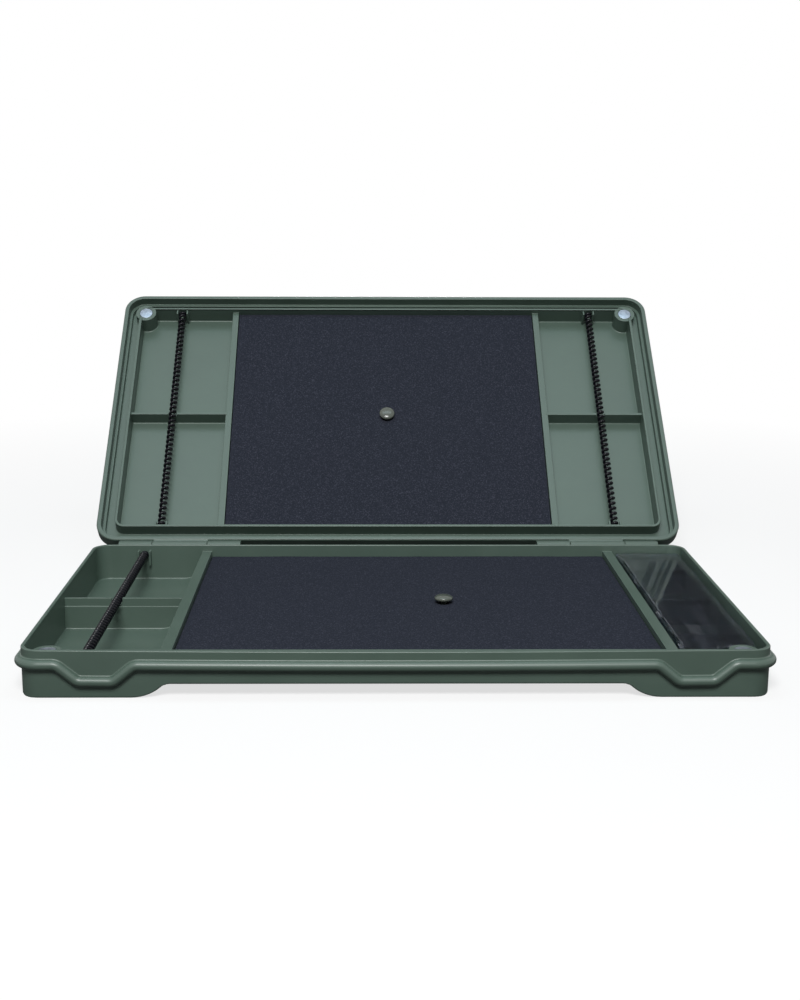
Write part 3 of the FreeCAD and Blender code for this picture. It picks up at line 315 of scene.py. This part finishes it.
springFinish = {
    "dark": (0.003, 0.003, 0.005),
    "light": (0.008, 0.008, 0.012),
    "rough": (0.1, 0.16),
    "gloss": 0.14,
    "metal": 0,
    "grainScale": 2500,
    "mottleScale": 300,
    "grainDepth": 0,
}

studFinish = {
    "dark": (0.070, 0.082, 0.068),
    "light": (0.092, 0.105, 0.086),
    "rough": (0.18, 0.24),
    "gloss": 0.5,
    "metal": 0,
    "grainScale": 1500,
    "mottleScale": 150,
    "grainDepth": 0.01 * mm,
}

magnetFinish = {
    "dark": (0.20, 0.24, 0.29),
    "light": (0.34, 0.39, 0.46),
    "rough": (0.3, 0.45),
    "gloss": 0.5,
    "metal": 0.9,
    "grainScale": 1800,
    "mottleScale": 500,
    "grainDepth": 0.02 * mm,
}

pinFinish = {
    "dark": (0.40, 0.41, 0.42),
    "light": (0.50, 0.51, 0.52),
    "rough": (0.25, 0.4),
    "gloss": 0.5,
    "metal": 1,
    "grainScale": 2500,
    "mottleScale": 600,
    "grainDepth": 0,
}


# Dark navy foam with a fine broken skin and pale specks, and painted shade in the low cells of
# the skin
foamSettings = {
    "pitShade": (0.017, 0.0195, 0.028),
    "face": (0.027, 0.031, 0.043),
    "speck": (0.048, 0.051, 0.070),
    "speckScale": 1900,
    "speckFrom": 0.7,
    "cellScale": 1900,
    "cellRange": (0.35, 0.65),
    "mottleScale": 60,
    "roughness": 0.9,
    "gloss": 0.05,
    "bump": 0.6,
    "cellDepth": 0.12 * mm,
}


def buildFoam():
    material, nodes, links, shader = newMaterial("foamBoard")
    coords = objectCoords(nodes)
    grain = addGrain(
        nodes, links, coords, foamSettings["cellScale"], foamSettings["mottleScale"]
    )
    height = grain.outputs["Height"]
    cells = nodes.new("ShaderNodeTexVoronoi")
    cells.location = (-1000, 300)
    cells.inputs["Scale"].default_value = foamSettings["speckScale"]
    links.new(coords, cells.inputs["Vector"])
    cellTone = nodes.new("ShaderNodeSeparateColor")
    cellTone.location = (-800, 300)
    links.new(cells.outputs["Color"], cellTone.inputs["Color"])
    # painted shade: where the grain height is low, the foam takes the darker pit colour
    pitShadeMask = rescale(nodes, links, height, *foamSettings["cellRange"], 0, 1, x=-800)
    pitShadedFoam = colourMix(nodes, links, pitShadeMask, foamSettings["pitShade"], foamSettings["face"], x=-600)
    red = cellTone.outputs["Red"]
    specks = rescale(nodes, links, red, foamSettings["speckFrom"], 1, 0, 1, y=300)
    colour = colourMix(nodes, links, specks, pitShadedFoam, foamSettings["speck"], x=-300)
    links.new(colour, shader.inputs["Base Color"])
    shader.inputs["Roughness"].default_value = foamSettings["roughness"]
    shader.inputs["Specular IOR Level"].default_value = foamSettings["gloss"]
    addBump(nodes, links, height, shader, foamSettings["bump"], foamSettings["cellDepth"])
    return material


# Smoke-tinted clear plastic
clearSettings = {
    "tint": (0.30, 0.34, 0.46),
    "rough": (0.03, 0.06),
    "ior": 1.45,
    "gloss": 0.5,
    "body": 0.5,
    "grainScale": 900,
    "mottleScale": 60,
}


def buildClearPlastic():
    material, nodes, links, shader = newMaterial("clearPlastic")
    coords = objectCoords(nodes)
    grain = addGrain(
        nodes, links, coords, clearSettings["grainScale"], clearSettings["mottleScale"]
    )
    rough = mottleTo(nodes, links, grain, *clearSettings["rough"])
    links.new(rough, shader.inputs["Roughness"])
    shader.inputs["Base Color"].default_value = (*clearSettings["tint"], 1)
    shader.inputs["IOR"].default_value = clearSettings["ior"]
    shader.inputs["Specular IOR Level"].default_value = clearSettings["gloss"]
    shader.inputs["Transmission Weight"].default_value = 1
    shader.inputs["Alpha"].default_value = clearSettings["body"]
    return material


greenPlastic = buildFinish("greenPlastic", greenFinish)
springSteel = buildFinish("blackSpring", springFinish)
studPlastic = buildFinish("studPlastic", studFinish)
magnetNickel = buildFinish("magnetNickel", magnetFinish)
pinSteel = buildFinish("pinSteel", pinFinish)
foamFace = buildFoam()
clearPlastic = buildClearPlastic()
print("materials ready")


# Mouldings: each is a merged copy of its solid with its edges rounded

mergeSettings = {"distance": 0.002 * mm, "flatness": math.radians(0.6)}


def mergedCopy(node):
    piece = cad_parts[node].copy()
    piece.data = piece.data.copy()
    piece.parent = None
    bpy.context.scene.collection.objects.link(piece)
    editAll(piece)
    bpy.ops.mesh.remove_doubles(threshold=mergeSettings["distance"])
    bpy.ops.mesh.dissolve_limited(angle_limit=mergeSettings["flatness"])
    bpy.ops.object.mode_set(mode="OBJECT")
    return piece


def roundEdges(piece, place, label, offset, segments, wanted):
    chosen = selectEdges(piece, place, wanted)
    if chosen:
        bpy.ops.mesh.bevel(
            offset=offset * mm, segments=segments, affect="EDGES", clamp_overlap=False
        )
    bpy.ops.object.mode_set(mode="OBJECT")
    print("  ", label, chosen)


sharpBend = 34  # degrees


# Takes the sharpness off every edge that is left, and keeps the flats flat
def easeRest(piece, place, offset, leaveOut=None):
    def isSharp(spot, bend, normals):
        return abs(bend) > sharpBend and not (leaveOut and leaveOut(spot))

    roundEdges(piece, place, "rest", offset, 2, isSharp)
    smooth(piece, sharpBend)
    flats = piece.modifiers.new("flats", "WEIGHTED_NORMAL")
    flats.keep_sharp = True
    applyAll(piece)


# What an edge's bend in degrees tells: one side of a chamfer, a full hollow or a full corner
def isChamfered(bend):
    return 30 < bend < 60


def isHollow(bend):
    return bend < -60


def isCorner(bend):
    return bend > 60


# Whether one of an edge's faces looks up or down by more than an amount
def looksUp(normals, amount):
    return any(normal.z > amount for normal in normals)


def looksDown(normals, amount):
    return any(normal.z < -amount for normal in normals)


# Radii and levels in millimetres
baseShape = {
    "cornerX": 171.5,
    "cornerY": 92.0,
    "wallRound": 10.3,
    "rimTop": 24.0,
    "bead": 0.8,
    "beadRoot": 0.72,
    "underEdge": 0.35,
    "floor": 0.8,
    "rim": 0.5,
    "rest": 0.25,
}

# The photographed moulding against the plain one, in millimetres: its bead and its underside lie
# a little lower, its front lip sags in the middle, and its lower edge is tighter
baseFit = {
    "beadDrop": 1.3,
    "sag": 0.9,
    "sagReach": 150,
    "sagCuts": (-100, -70, -40, -10, 20, 50, 80),
    "edgeDrop": 1.2,
    "undersideDrop": 1.1,
    "postDrop": 0.9,
}

# Where its parts are found, in millimetres. Outward counts from the upright wall.
baseMarks = {
    "lipFront": -99.9,
    "lipLow": 12,
    "lipOut": -2.1,
    "dipSide": 123,
    "dipLow": 5,
    "beadHigh": 21,
    "beadOut": -0.1,
    "cornerFade": 11,
    "beadRear": 106,
    "rootRear": 103,
    "wallSlack": 0.1,
    "underEdgeLow": 1.8,
    "underEdgeHigh": 9.9,
    "undersideOut": (-1.95, -1.65),
    "undersideHigh": 8.1,
    "undersideRise": 8,
    "undersideHalf": (180, 100.5),
    "chamferHigh": 9.5,
    "footHigh": 9,
    "floorHigh": 10.6,
    "post": (170, -89.5),
    "postRound": 7.2,
    "postHigh": 20.9,
    "seatRound": 4.7,
    "seatLevel": 18,
}


# How far a spot lies outside the base's upright wall
def beyondWall(spot):
    side = max(abs(spot.x) - baseShape["cornerX"], 0)
    front = max(abs(spot.y) - baseShape["cornerY"], 0)
    return math.hypot(side, front) - baseShape["wallRound"]


def isUnderside(spot):
    low, high = baseMarks["undersideOut"]
    return low < beyondWall(spot) < high and spot.z < baseMarks["undersideHigh"]


# The share of a drop that eases in round a corner
def easeIn(along):
    along = min(along, 1)
    return along * along * (3 - 2 * along)


def dropOf(spot):
    marks, fit = baseMarks, baseFit
    out = beyondWall(spot)
    side = abs(spot.x)
    high = spot.z > (marks["lipLow"] if side < marks["dipSide"] else marks["dipLow"])
    inLip = out > marks["lipOut"] and spot.y < marks["lipFront"] and high
    drop = 0
    if inLip and side < fit["sagReach"]:
        drop += fit["sag"] * (1 - (spot.x / fit["sagReach"]) ** 2)
    if out > marks["beadOut"] and high and spot.z < marks["beadHigh"]:
        if spot.y <= baseShape["cornerY"]:
            drop += fit["beadDrop"]
        elif side > baseShape["cornerX"]:
            drop += fit["beadDrop"] * easeIn((side - baseShape["cornerX"]) / marks["cornerFade"])
    elif abs(out) < marks["wallSlack"] and spot.z < marks["underEdgeHigh"]:
        rise = (spot.z - marks["underEdgeLow"]) / marks["undersideRise"]
        drop += fit["edgeDrop"] + fit["undersideDrop"] * rise
    elif isUnderside(spot):
        drop += fit["undersideDrop"] * spot.z / marks["undersideRise"]
    postX, postY = marks["post"]
    postAway = math.hypot(side - postX, spot.y - postY)
    onPost = postAway < marks["postRound"] and spot.z > marks["postHigh"]
    inSeat = postAway < marks["seatRound"] and abs(spot.z - marks["seatLevel"]) < 0.1
    if onPost or inSeat:
        drop += fit["postDrop"]
    return drop


# Cuts the front lip across at each station, so that it can curve
def cutLip(base):
    def inLip(spot):
        return spot.y < baseMarks["lipFront"] and spot.z > baseMarks["lipLow"]

    for station in baseFit["sagCuts"]:
        selectSpots(base, basePlace, inLip)
        bpy.ops.mesh.select_mode(type="FACE")
        bpy.ops.mesh.bisect(
            plane_co=basePlace @ Vector((station * mm, 0, 0)), plane_no=(1, 0, 0), use_fill=False
        )
        bpy.ops.object.mode_set(mode="OBJECT")


def fitBase(base):
    cutLip(base)
    inverse = basePlace.inverted()
    drops = [dropOf(inverse @ vertex.co / mm) for vertex in base.data.vertices]
    deepest = max(drops)
    group = base.vertex_groups.new(name="drops")
    for index, drop in enumerate(drops):
        if drop:
            group.add([index], drop / deepest, "REPLACE")
    lower = base.modifiers.new("lower", "DISPLACE")
    lower.direction = "Z"
    lower.strength = -deepest * mm
    lower.mid_level = 0
    lower.vertex_group = group.name
    applyAll(base)
    base.vertex_groups.clear()
    # the underside reaches nearly as far out as the wall
    selectSpots(base, basePlace, isUnderside)
    wider, deeper = [1 + baseFit["edgeDrop"] / half for half in baseMarks["undersideHalf"]]
    middle = basePlace.to_translation()
    bpy.ops.transform.resize(value=(wider, deeper, 1), center_override=middle)
    bpy.ops.object.mode_set(mode="OBJECT")
    print("   lowered by up to", round(deepest, 2))


def modelBase():
    base = mergedCopy("base_shell")
    fitBase(base)

    def isBead(spot, bend, normals):
        outside = beyondWall(spot) > 1.0 and spot.y < baseMarks["beadRear"]
        return isChamfered(bend) and outside and spot.z > baseMarks["dipLow"]

    def isBeadRoot(spot, bend, normals):
        outside = beyondWall(spot) > -0.2 and spot.y < baseMarks["rootRear"]
        return isHollow(bend) and outside and looksUp(normals, 0.5)

    def isUnderEdge(spot, bend, normals):
        low = spot.z < baseMarks["chamferHigh"] and beyondWall(spot) < 0.6
        return isChamfered(bend) and low and looksDown(normals, 0.3)

    def isFloor(spot, bend, normals):
        inside = spot.z < baseMarks["floorHigh"] and beyondWall(spot) < -0.5
        level = any(abs(normal.z) < 0.1 for normal in normals)
        return isHollow(bend) and inside and level and looksUp(normals, 0.6)

    def isRim(spot, bend, normals):
        top = baseShape["rimTop"] - baseFit["sag"] - 0.1
        return isCorner(bend) and spot.z > top and beyondWall(spot) < 1.0

    def isFootEdge(spot):
        return abs(beyondWall(spot)) < 2 and spot.z < baseMarks["footHigh"]

    roundEdges(base, basePlace, "bead", baseShape["bead"], 3, isBead)
    roundEdges(base, basePlace, "bead root", baseShape["beadRoot"], 4, isBeadRoot)
    roundEdges(base, basePlace, "under edge", baseShape["underEdge"], 3, isUnderEdge)
    roundEdges(base, basePlace, "floors", baseShape["floor"], 4, isFloor)
    roundEdges(base, basePlace, "rim", baseShape["rim"], 4, isRim)
    easeRest(base, basePlace, baseShape["rest"], isFootEdge)
    finishPiece(base, "baseMoulding", "base", greenPlastic, ("base_shell",))
    print("base moulding", len(base.data.polygons))


lidShape = {
    "plate": 1.0,
    "corner": 1.6,
    "cornerLevels": (-12, -8),
    "plateLevel": -12.9,
    "floorLevel": -12.7,
    "rimLevels": (0, -0.8),
    "rimReach": 105,
    "outside": (186, -105.6),
    "floor": 0.7,
    "rim": 0.4,
    "rest": 0.25,
}


def modelLid():
    lid = mergedCopy("lid_shell")

    def isOuterCorner(spot, bend, normals):
        low, high = lidShape["cornerLevels"]
        side, rear = lidShape["outside"]
        onBody = abs(spot.x) < side and spot.y > rear
        return isChamfered(bend) and low < spot.z < high and onBody

    def isPlate(spot, bend, normals):
        return isChamfered(bend) and spot.z < lidShape["plateLevel"]

    def isFloor(spot, bend, normals):
        return isHollow(bend) and abs(spot.z - lidShape["floorLevel"]) < 0.05

    def isRim(spot, bend, normals):
        onTop = any(abs(spot.z - level) < 0.05 for level in lidShape["rimLevels"])
        square = isCorner(bend) and bend < 120 and looksUp(normals, 0.9)
        return square and onTop and abs(spot.y) < lidShape["rimReach"]

    roundEdges(lid, lidPlace, "plate", lidShape["plate"], 3, isPlate)
    roundEdges(lid, lidPlace, "corner", lidShape["corner"], 3, isOuterCorner)
    roundEdges(lid, lidPlace, "floors", lidShape["floor"], 4, isFloor)
    roundEdges(lid, lidPlace, "rims", lidShape["rim"], 3, isRim)
    easeRest(lid, lidPlace, lidShape["rest"])
    finishPiece(lid, "lidMoulding", "lid", greenPlastic, ("lid_shell",))
    print("lid moulding", len(lid.data.polygons))


clearEdge = 0.15  # millimetres


def modelTackleBox():
    parts = (
        ("tackle_box_tray", "tackleTray", "base"),
        ("tackle_box_lid", "tackleLid", "tackle_lid"),
    )
    for node, name, body in parts:
        part = mergedCopy(node)
        easeRest(part, basePlace, clearEdge)
        finishPiece(part, name, body, clearPlastic, (node,))
        print(name, len(part.data.polygons))


modelBase()
modelLid()
modelTackleBox()

for side in ("left", "right"):
    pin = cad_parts["hinge_pin_" + side]
    pin.data.materials.clear()
    pin.data.materials.append(pinSteel)


# Springs: an open coil between two closed end turns

springSettings = {
    "outside": 5.2 * mm,
    "wire": 2.0 * mm,
    "pitch": 3.95 * mm,
    "endPitch": 1.03,  # of the wire's width
    "stepsPerTurn": 24,
    "wireSides": 10,
    "weld": 0.01 * mm,
}


def woundRun(start, pitch, turns):
    deselectAll()
    bpy.ops.mesh.primitive_circle_add(
        vertices=springSettings["wireSides"],
        radius=springSettings["wire"] / 2,
        rotation=(math.pi / 2, 0, 0),
        location=((springSettings["outside"] - springSettings["wire"]) / 2, 0, start),
    )
    run = bpy.context.object
    bpy.ops.object.transform_apply(location=True, rotation=True, scale=True)
    coil = run.modifiers.new("coil", "SCREW")
    coil.axis = "Z"
    coil.angle = 2 * math.pi
    coil.screw_offset = pitch
    coil.iterations = turns
    coil.steps = springSettings["stepsPerTurn"]
    coil.render_steps = springSettings["stepsPerTurn"]
    applyAll(run)
    return run


def modelSpring(length):
    endPitch = springSettings["wire"] * springSettings["endPitch"]
    coiled = length - springSettings["wire"] - 2 * endPitch
    turns = round(coiled / springSettings["pitch"])
    start = -(length - springSettings["wire"]) / 2
    runs = [
        woundRun(start, endPitch, 1),
        woundRun(start + endPitch, coiled / turns, turns),
        woundRun(-start - endPitch, endPitch, 1),
    ]
    deselectAll()
    for run in runs:
        run.select_set(True)
    bpy.context.view_layer.objects.active = runs[0]
    bpy.ops.object.join()
    spring = runs[0]
    editAll(spring)
    bpy.ops.mesh.remove_doubles(threshold=springSettings["weld"])
    bpy.ops.mesh.fill_holes(sides=springSettings["wireSides"])
    faceOutward()
    smooth(spring, 60)
    return spring


def makeSprings():
    racks = (
        ("base_spring", "baseRackSpring", "base", basePlace),
        ("lid_spring_left", "lidRackSpringLeft", "lid", lidPlace),
        ("lid_spring_right", "lidRackSpringRight", "lid", lidPlace),
    )
    alongY = Matrix.Rotation(-math.pi / 2, 4, "X")
    for node, name, body, place in racks:
        low, high = ownBox(node, place)
        spring = modelSpring(high.y - low.y)
        middle = (low + high) / 2
        middle.z = high.z - springSettings["outside"] / 2
        placeMesh(spring, place @ Matrix.Translation(middle) @ alongY)
        finishPiece(spring, name, body, springSteel, (node,))
        print(name, len(spring.data.polygons))


makeSprings()


# Foam boards, cut from sheet, each with a hole for its stud's socket

foamShape = {
    "step": 2.0 * mm,
    "edgeRound": 0.9 * mm,
    "wave": 0.7 * mm,
    "waveMiddle": 0.75,
    "waveSize": 60 * mm,
    "dimple": 0.45 * mm,
    "dimpleReach": 16 * mm,
    "socketRoom": 3.4 * mm,
    "socketSides": 40,
}


def modelBoard(low, high, studX, studY):
    width, depth, thick = high - low
    deselectAll()
    bpy.ops.mesh.primitive_grid_add(
        x_subdivisions=int(width / foamShape["step"]),
        y_subdivisions=int(depth / foamShape["step"]),
        size=1,
        location=(low.x + width / 2, low.y + depth / 2, high.z),
    )
    board = bpy.context.object
    board.scale = (width, depth, 1)
    bpy.ops.object.transform_apply(location=True, rotation=True, scale=True)
    clouds = bpy.data.textures.new("slowWaves", "CLOUDS")
    clouds.noise_scale = foamShape["waveSize"]
    waves = board.modifiers.new("waves", "DISPLACE")
    waves.texture = clouds
    waves.direction = "Z"
    waves.strength = foamShape["wave"]
    waves.mid_level = foamShape["waveMiddle"]
    applyAll(board)
    # the stud pulls the sheet down round itself
    away = [math.hypot(v.co.x - studX, v.co.y - studY) for v in board.data.vertices]
    nearest = board.data.vertices[away.index(min(away))].co / mm
    selectSpots(board, Matrix.Identity(4), lambda spot: (spot - nearest).length < 0.01)
    bpy.ops.transform.translate(
        value=(0, 0, -foamShape["dimple"]),
        use_proportional_edit=True,
        proportional_edit_falloff="SMOOTH",
        proportional_size=foamShape["dimpleReach"],
    )
    # down to its thickness, with a flat underside
    bpy.ops.mesh.select_all(action="SELECT")
    bpy.ops.mesh.extrude_region_move(TRANSFORM_OT_translate={"value": (0, 0, -thick)})
    bpy.ops.transform.resize(value=(1, 1, 0), center_override=(0, 0, low.z))
    faceOutward()
    deselectAll()
    bpy.ops.mesh.primitive_cylinder_add(
        vertices=foamShape["socketSides"],
        radius=foamShape["socketRoom"],
        depth=thick * 3,
        location=(studX, studY, (low.z + high.z) / 2),
    )
    punch = bpy.context.object
    hole = board.modifiers.new("hole", "BOOLEAN")
    hole.object = punch
    hole.operation = "DIFFERENCE"
    hole.solver = "EXACT"
    addBevel(board, foamShape["edgeRound"], 60)
    applyAll(board)
    bpy.data.objects.remove(punch)
    smooth(board, 50)
    return board


def makeBoards():
    boards = (
        ("base_foam_board", "base_foam_stud", "baseFoam", "base", basePlace),
        ("lid_foam_board", "lid_foam_stud", "lidFoam", "lid", lidPlace),
    )
    for node, studNode, name, body, place in boards:
        low, high = ownBox(node, place)
        studLow, studHigh = ownBox(studNode, place)
        stud = (studLow + studHigh) / 2
        board = modelBoard(low, high, stud.x, stud.y)
        placeMesh(board, place)
        finishPiece(board, name, body, foamFace, (node,))
        print(name, len(board.data.polygons))


makeBoards()


# Studs and magnets

studShape = {
    "head": 5.1 * mm,
    "edge": 0.6 * mm,
    "dome": 1.9 * mm,
    "shank": 1.5 * mm,
    "grip": 4.6 * mm,
    "edgeRound": 0.2 * mm,
    "sides": 48,
}


# A domed head on a straight shank, with the underside of the head at the origin
def modelStud():
    deselectAll()
    bpy.ops.mesh.primitive_uv_sphere_add(
        segments=studShape["sides"],
        ring_count=studShape["sides"] // 2,
        radius=studShape["head"],
        location=(0, 0, 0),
    )
    stud = bpy.context.object
    editAll(stud)
    bpy.ops.mesh.bisect(
        plane_co=(0, 0, 0), plane_no=(0, 0, 1), clear_inner=True, use_fill=False
    )
    bpy.ops.mesh.select_all(action="SELECT")
    bpy.ops.transform.resize(value=(1, 1, studShape["dome"] / studShape["head"]))
    bpy.ops.transform.translate(value=(0, 0, studShape["edge"]))
    bpy.ops.mesh.select_all(action="DESELECT")
    bpy.ops.mesh.select_non_manifold()
    toRim = {"value": (0, 0, -studShape["edge"])}
    bpy.ops.mesh.extrude_edges_move(TRANSFORM_OT_translate=toRim)
    bpy.ops.mesh.edge_face_add()
    bpy.ops.mesh.inset(thickness=studShape["head"] - studShape["shank"])
    toEnd = {"value": (0, 0, -studShape["grip"])}
    bpy.ops.mesh.extrude_region_move(TRANSFORM_OT_translate=toEnd)
    faceOutward()
    addBevel(stud, studShape["edgeRound"], 60)
    applyAll(stud)
    smooth(stud, 45)
    return stud


magnetShape = {"radius": 4.5 * mm, "thick": 3.0 * mm, "edge": 0.35 * mm, "sides": 64}


def modelMagnet():
    deselectAll()
    bpy.ops.mesh.primitive_cylinder_add(
        vertices=magnetShape["sides"],
        radius=magnetShape["radius"],
        depth=magnetShape["thick"],
        location=(0, 0, magnetShape["thick"] / 2),
    )
    magnet = bpy.context.object
    addBevel(magnet, magnetShape["edge"], 30)
    applyAll(magnet)
    smooth(magnet, 40)
    return magnet


def makeStudsAndMagnets():
    for node, name, body, place in (
        ("base_foam_stud", "baseStud", "base", basePlace),
        ("lid_foam_stud", "lidStud", "lid", lidPlace),
    ):
        low, high = ownBox(node, place)
        spot = (low + high) / 2
        spot.z = low.z + studShape["grip"]
        stud = modelStud()
        placeMesh(stud, place @ Matrix.Translation(spot))
        finishPiece(stud, name, body, studPlastic, (node,))
    for half, place in (("base", basePlace), ("lid", lidPlace)):
        for side in ("left", "right"):
            node = half + "_magnet_" + side
            low, high = ownBox(node, place)
            spot = (low + high) / 2
            spot.z = low.z - (baseFit["postDrop"] * mm if half == "base" else 0)
            magnet = modelMagnet()
            placeMesh(magnet, place @ Matrix.Translation(spot))
            name = half + "Magnet" + side.capitalize()
            finishPiece(magnet, name, half, magnetNickel, (node,))


makeStudsAndMagnets()
print("studs and magnets seated")


# Camera, lamps, backdrop and floor

cameraSettings = {
    "x": -16.834 * mm,
    "frontGap": 638.535 * mm,
    "height": 240.413 * mm,
    "pitch": 12.468,
    "yaw": 0.769,
    "roll": 0.195,
    "lens": 50.70,
    "sensor": 36,
    "nearest": 10 * mm,
    "shiftX": 0.0195,
    "shiftY": -0.00175,
}


def setCamera():
    data = bpy.data.cameras.new("camera")
    camera = bpy.data.objects.new("camera", data)
    bpy.context.scene.collection.objects.link(camera)
    data.lens = cameraSettings["lens"]
    data.sensor_width = cameraSettings["sensor"]
    data.shift_x = cameraSettings["shiftX"]
    data.shift_y = cameraSettings["shiftY"]
    data.clip_start = cameraSettings["nearest"]
    pitch, yaw, roll = [math.radians(cameraSettings[name]) for name in ("pitch", "yaw", "roll")]
    forward = Vector(
        (math.sin(yaw) * math.cos(pitch), math.cos(yaw) * math.cos(pitch), -math.sin(pitch))
    )
    level = Vector((math.cos(yaw), -math.sin(yaw), 0))
    upright = level.cross(forward)
    right = level * math.cos(roll) + upright * math.sin(roll)
    up = upright * math.cos(roll) - level * math.sin(roll)
    turn = Matrix((right, up, -forward)).transposed().to_4x4()
    back = baseY - case["depth"] / 2 - cameraSettings["frontGap"]
    spot = Vector((cameraSettings["x"], back, cameraSettings["height"]))
    camera.matrix_world = Matrix.Translation(spot) @ turn
    bpy.context.scene.camera = camera


lampSettings = [
    # name, place, aims at, width, height, tint, watts
    ("overhead", (0.0, -0.05, 1.25), (0, 0, 0), 1.0, 0.4, (0.72, 0.92, 1.0), 3.0),
    ("front", (-0.1, -1.2, 1.25), (0, -0.05, 0.05), 0.62, 0.5, (1.0, 1.0, 1.0), 26),
    ("rear", (0.0, 1.6, 0.28), (0, 0.12, 0.06), 0.28, 0.4, (1.0, 1.0, 1.0), 14),
]


def addLamps():
    for name, place, target, width, height, tint, watts in lampSettings:
        data = bpy.data.lights.new(name, "AREA")
        data.shape = "RECTANGLE"
        data.size = width
        data.size_y = height
        data.color = tint
        data.energy = watts
        lamp = bpy.data.objects.new(name, data)
        lamp.visible_camera = False
        bpy.context.scene.collection.objects.link(lamp)
        lamp.location = place
        aim = Vector(target) - Vector(place)
        lamp.rotation_euler = aim.to_track_quat("-Z", "Y").to_euler()


def joinValues(nodes, links, operation, first, second, x, y):
    join = nodes.new("ShaderNodeMath")
    join.operation = operation
    join.location = (x, y)
    links.new(first, join.inputs[0])
    links.new(second, join.inputs[1])
    return join.outputs[0]


# How much a ray is one of those that see the backdrop: from the camera, glossy or through glass.
# A mask can hold the glossy ones back.
def seesBackdrop(nodes, links, glossyMask=None):
    path = nodes.new("ShaderNodeLightPath")
    path.location = (-1100, 400)
    glossy = path.outputs["Is Glossy Ray"]
    if glossyMask:
        glossy = joinValues(nodes, links, "MULTIPLY", glossy, glossyMask, -900, 550)
    camera, glass = path.outputs["Is Camera Ray"], path.outputs["Is Transmission Ray"]
    first = joinValues(nodes, links, "MAXIMUM", camera, glossy, -700, 400)
    return joinValues(nodes, links, "MAXIMUM", first, glass, -500, 400)


worldSettings = {"light": 0.09, "backdrop": 1.0, "tint": (0.93, 0.97, 1.0)}


# White where it is seen, and a dimmer soft light on the object
def buildWorld():
    world = bpy.data.worlds.new("studio")
    bpy.context.scene.world = world
    world.use_nodes = True
    nodes, links = world.node_tree.nodes, world.node_tree.links
    nodes.clear()
    output = nodes.new("ShaderNodeOutputWorld")
    output.location = (600, 0)
    mix = nodes.new("ShaderNodeMixShader")
    mix.location = (400, 0)
    soft = nodes.new("ShaderNodeBackground")
    soft.location = (100, 100)
    soft.inputs["Color"].default_value = (*worldSettings["tint"], 1)
    soft.inputs["Strength"].default_value = worldSettings["light"]
    white = nodes.new("ShaderNodeBackground")
    white.location = (100, -100)
    white.inputs["Color"].default_value = (1, 1, 1, 1)
    white.inputs["Strength"].default_value = worldSettings["backdrop"]
    links.new(seesBackdrop(nodes, links), mix.inputs["Fac"])
    links.new(soft.outputs["Background"], mix.inputs[1])
    links.new(white.outputs["Background"], mix.inputs[2])
    links.new(mix.outputs["Shader"], output.inputs["Surface"])


floorSettings = {
    "size": 12,
    "roughness": 0.9,
    "seenColour": (0.95, 0.95, 0.95),
    "lightColour": (0.12, 0.12, 0.12),
    "whiteNear": 0.7,
    "whiteFrom": 0.30,
    "whiteTo": 0.75,
}


# Pale, with the object's shadow near it, and plain white further off. The object itself sees the
# floor right under it as a dull one, as a table in its own shade would be.
def addFloor():
    deselectAll()
    bpy.ops.mesh.primitive_plane_add(size=floorSettings["size"], location=(0, 0, 0))
    floor = bpy.context.object
    floor.name = "floor"
    material, nodes, links, shader = newMaterial("paleFloor")
    shader.inputs["Roughness"].default_value = floorSettings["roughness"]
    shader.inputs["Specular IOR Level"].default_value = 0
    distance = nodes.new("ShaderNodeVectorMath")
    distance.operation = "LENGTH"
    distance.location = (-1300, -400)
    links.new(objectCoords(nodes, -1500, -400), distance.inputs[0])
    whiteFrom, whiteTo = floorSettings["whiteFrom"], floorSettings["whiteTo"]
    away = rescale(nodes, links, distance.outputs["Value"], whiteFrom, whiteTo, 0, 1, x=-1100)
    far = rescale(nodes, links, away, 0, 1, floorSettings["whiteNear"], 1, x=-600, y=-400)
    seen = seesBackdrop(nodes, links, away)
    dull, pale = floorSettings["lightColour"], floorSettings["seenColour"]
    links.new(colourMix(nodes, links, seen, dull, pale), shader.inputs["Base Color"])
    share = joinValues(nodes, links, "MULTIPLY", seen, far, -300, -400)
    white = nodes.new("ShaderNodeEmission")
    white.location = (0, -400)
    white.inputs["Color"].default_value = (1, 1, 1, 1)
    white.inputs["Strength"].default_value = 1
    mix = nodes.new("ShaderNodeMixShader")
    mix.location = (300, -200)
    links.new(share, mix.inputs["Fac"])
    links.new(shader.outputs["BSDF"], mix.inputs[1])
    links.new(white.outputs["Emission"], mix.inputs[2])
    nodes["Material Output"].location = (500, 0)
    links.new(mix.outputs["Shader"], nodes["Material Output"].inputs["Surface"])
    floor.data.materials.append(material)


darkCardSettings = {
    "width": 5.0,
    "height": 1.6,
    "place": (0, 3.0, 1.56),
    "colour": (0.02, 0.022, 0.024),
}


# A dark card behind the object and above the picture, which the level surfaces reflect
def addDarkCard():
    deselectAll()
    bpy.ops.mesh.primitive_plane_add(
        size=1, location=darkCardSettings["place"], rotation=(math.pi / 2, 0, 0)
    )
    card = bpy.context.object
    card.name = "darkCard"
    card.scale = (darkCardSettings["width"], darkCardSettings["height"], 1)
    material, nodes, links, shader = newMaterial("darkCard")
    shader.inputs["Base Color"].default_value = (*darkCardSettings["colour"], 1)
    shader.inputs["Roughness"].default_value = 1
    shader.inputs["Specular IOR Level"].default_value = 0
    card.data.materials.append(material)
    card.visible_camera = False


setCamera()
addLamps()
buildWorld()
addFloor()
addDarkCard()
bpy.context.scene.view_settings.view_transform = "Standard"
print("stage set")
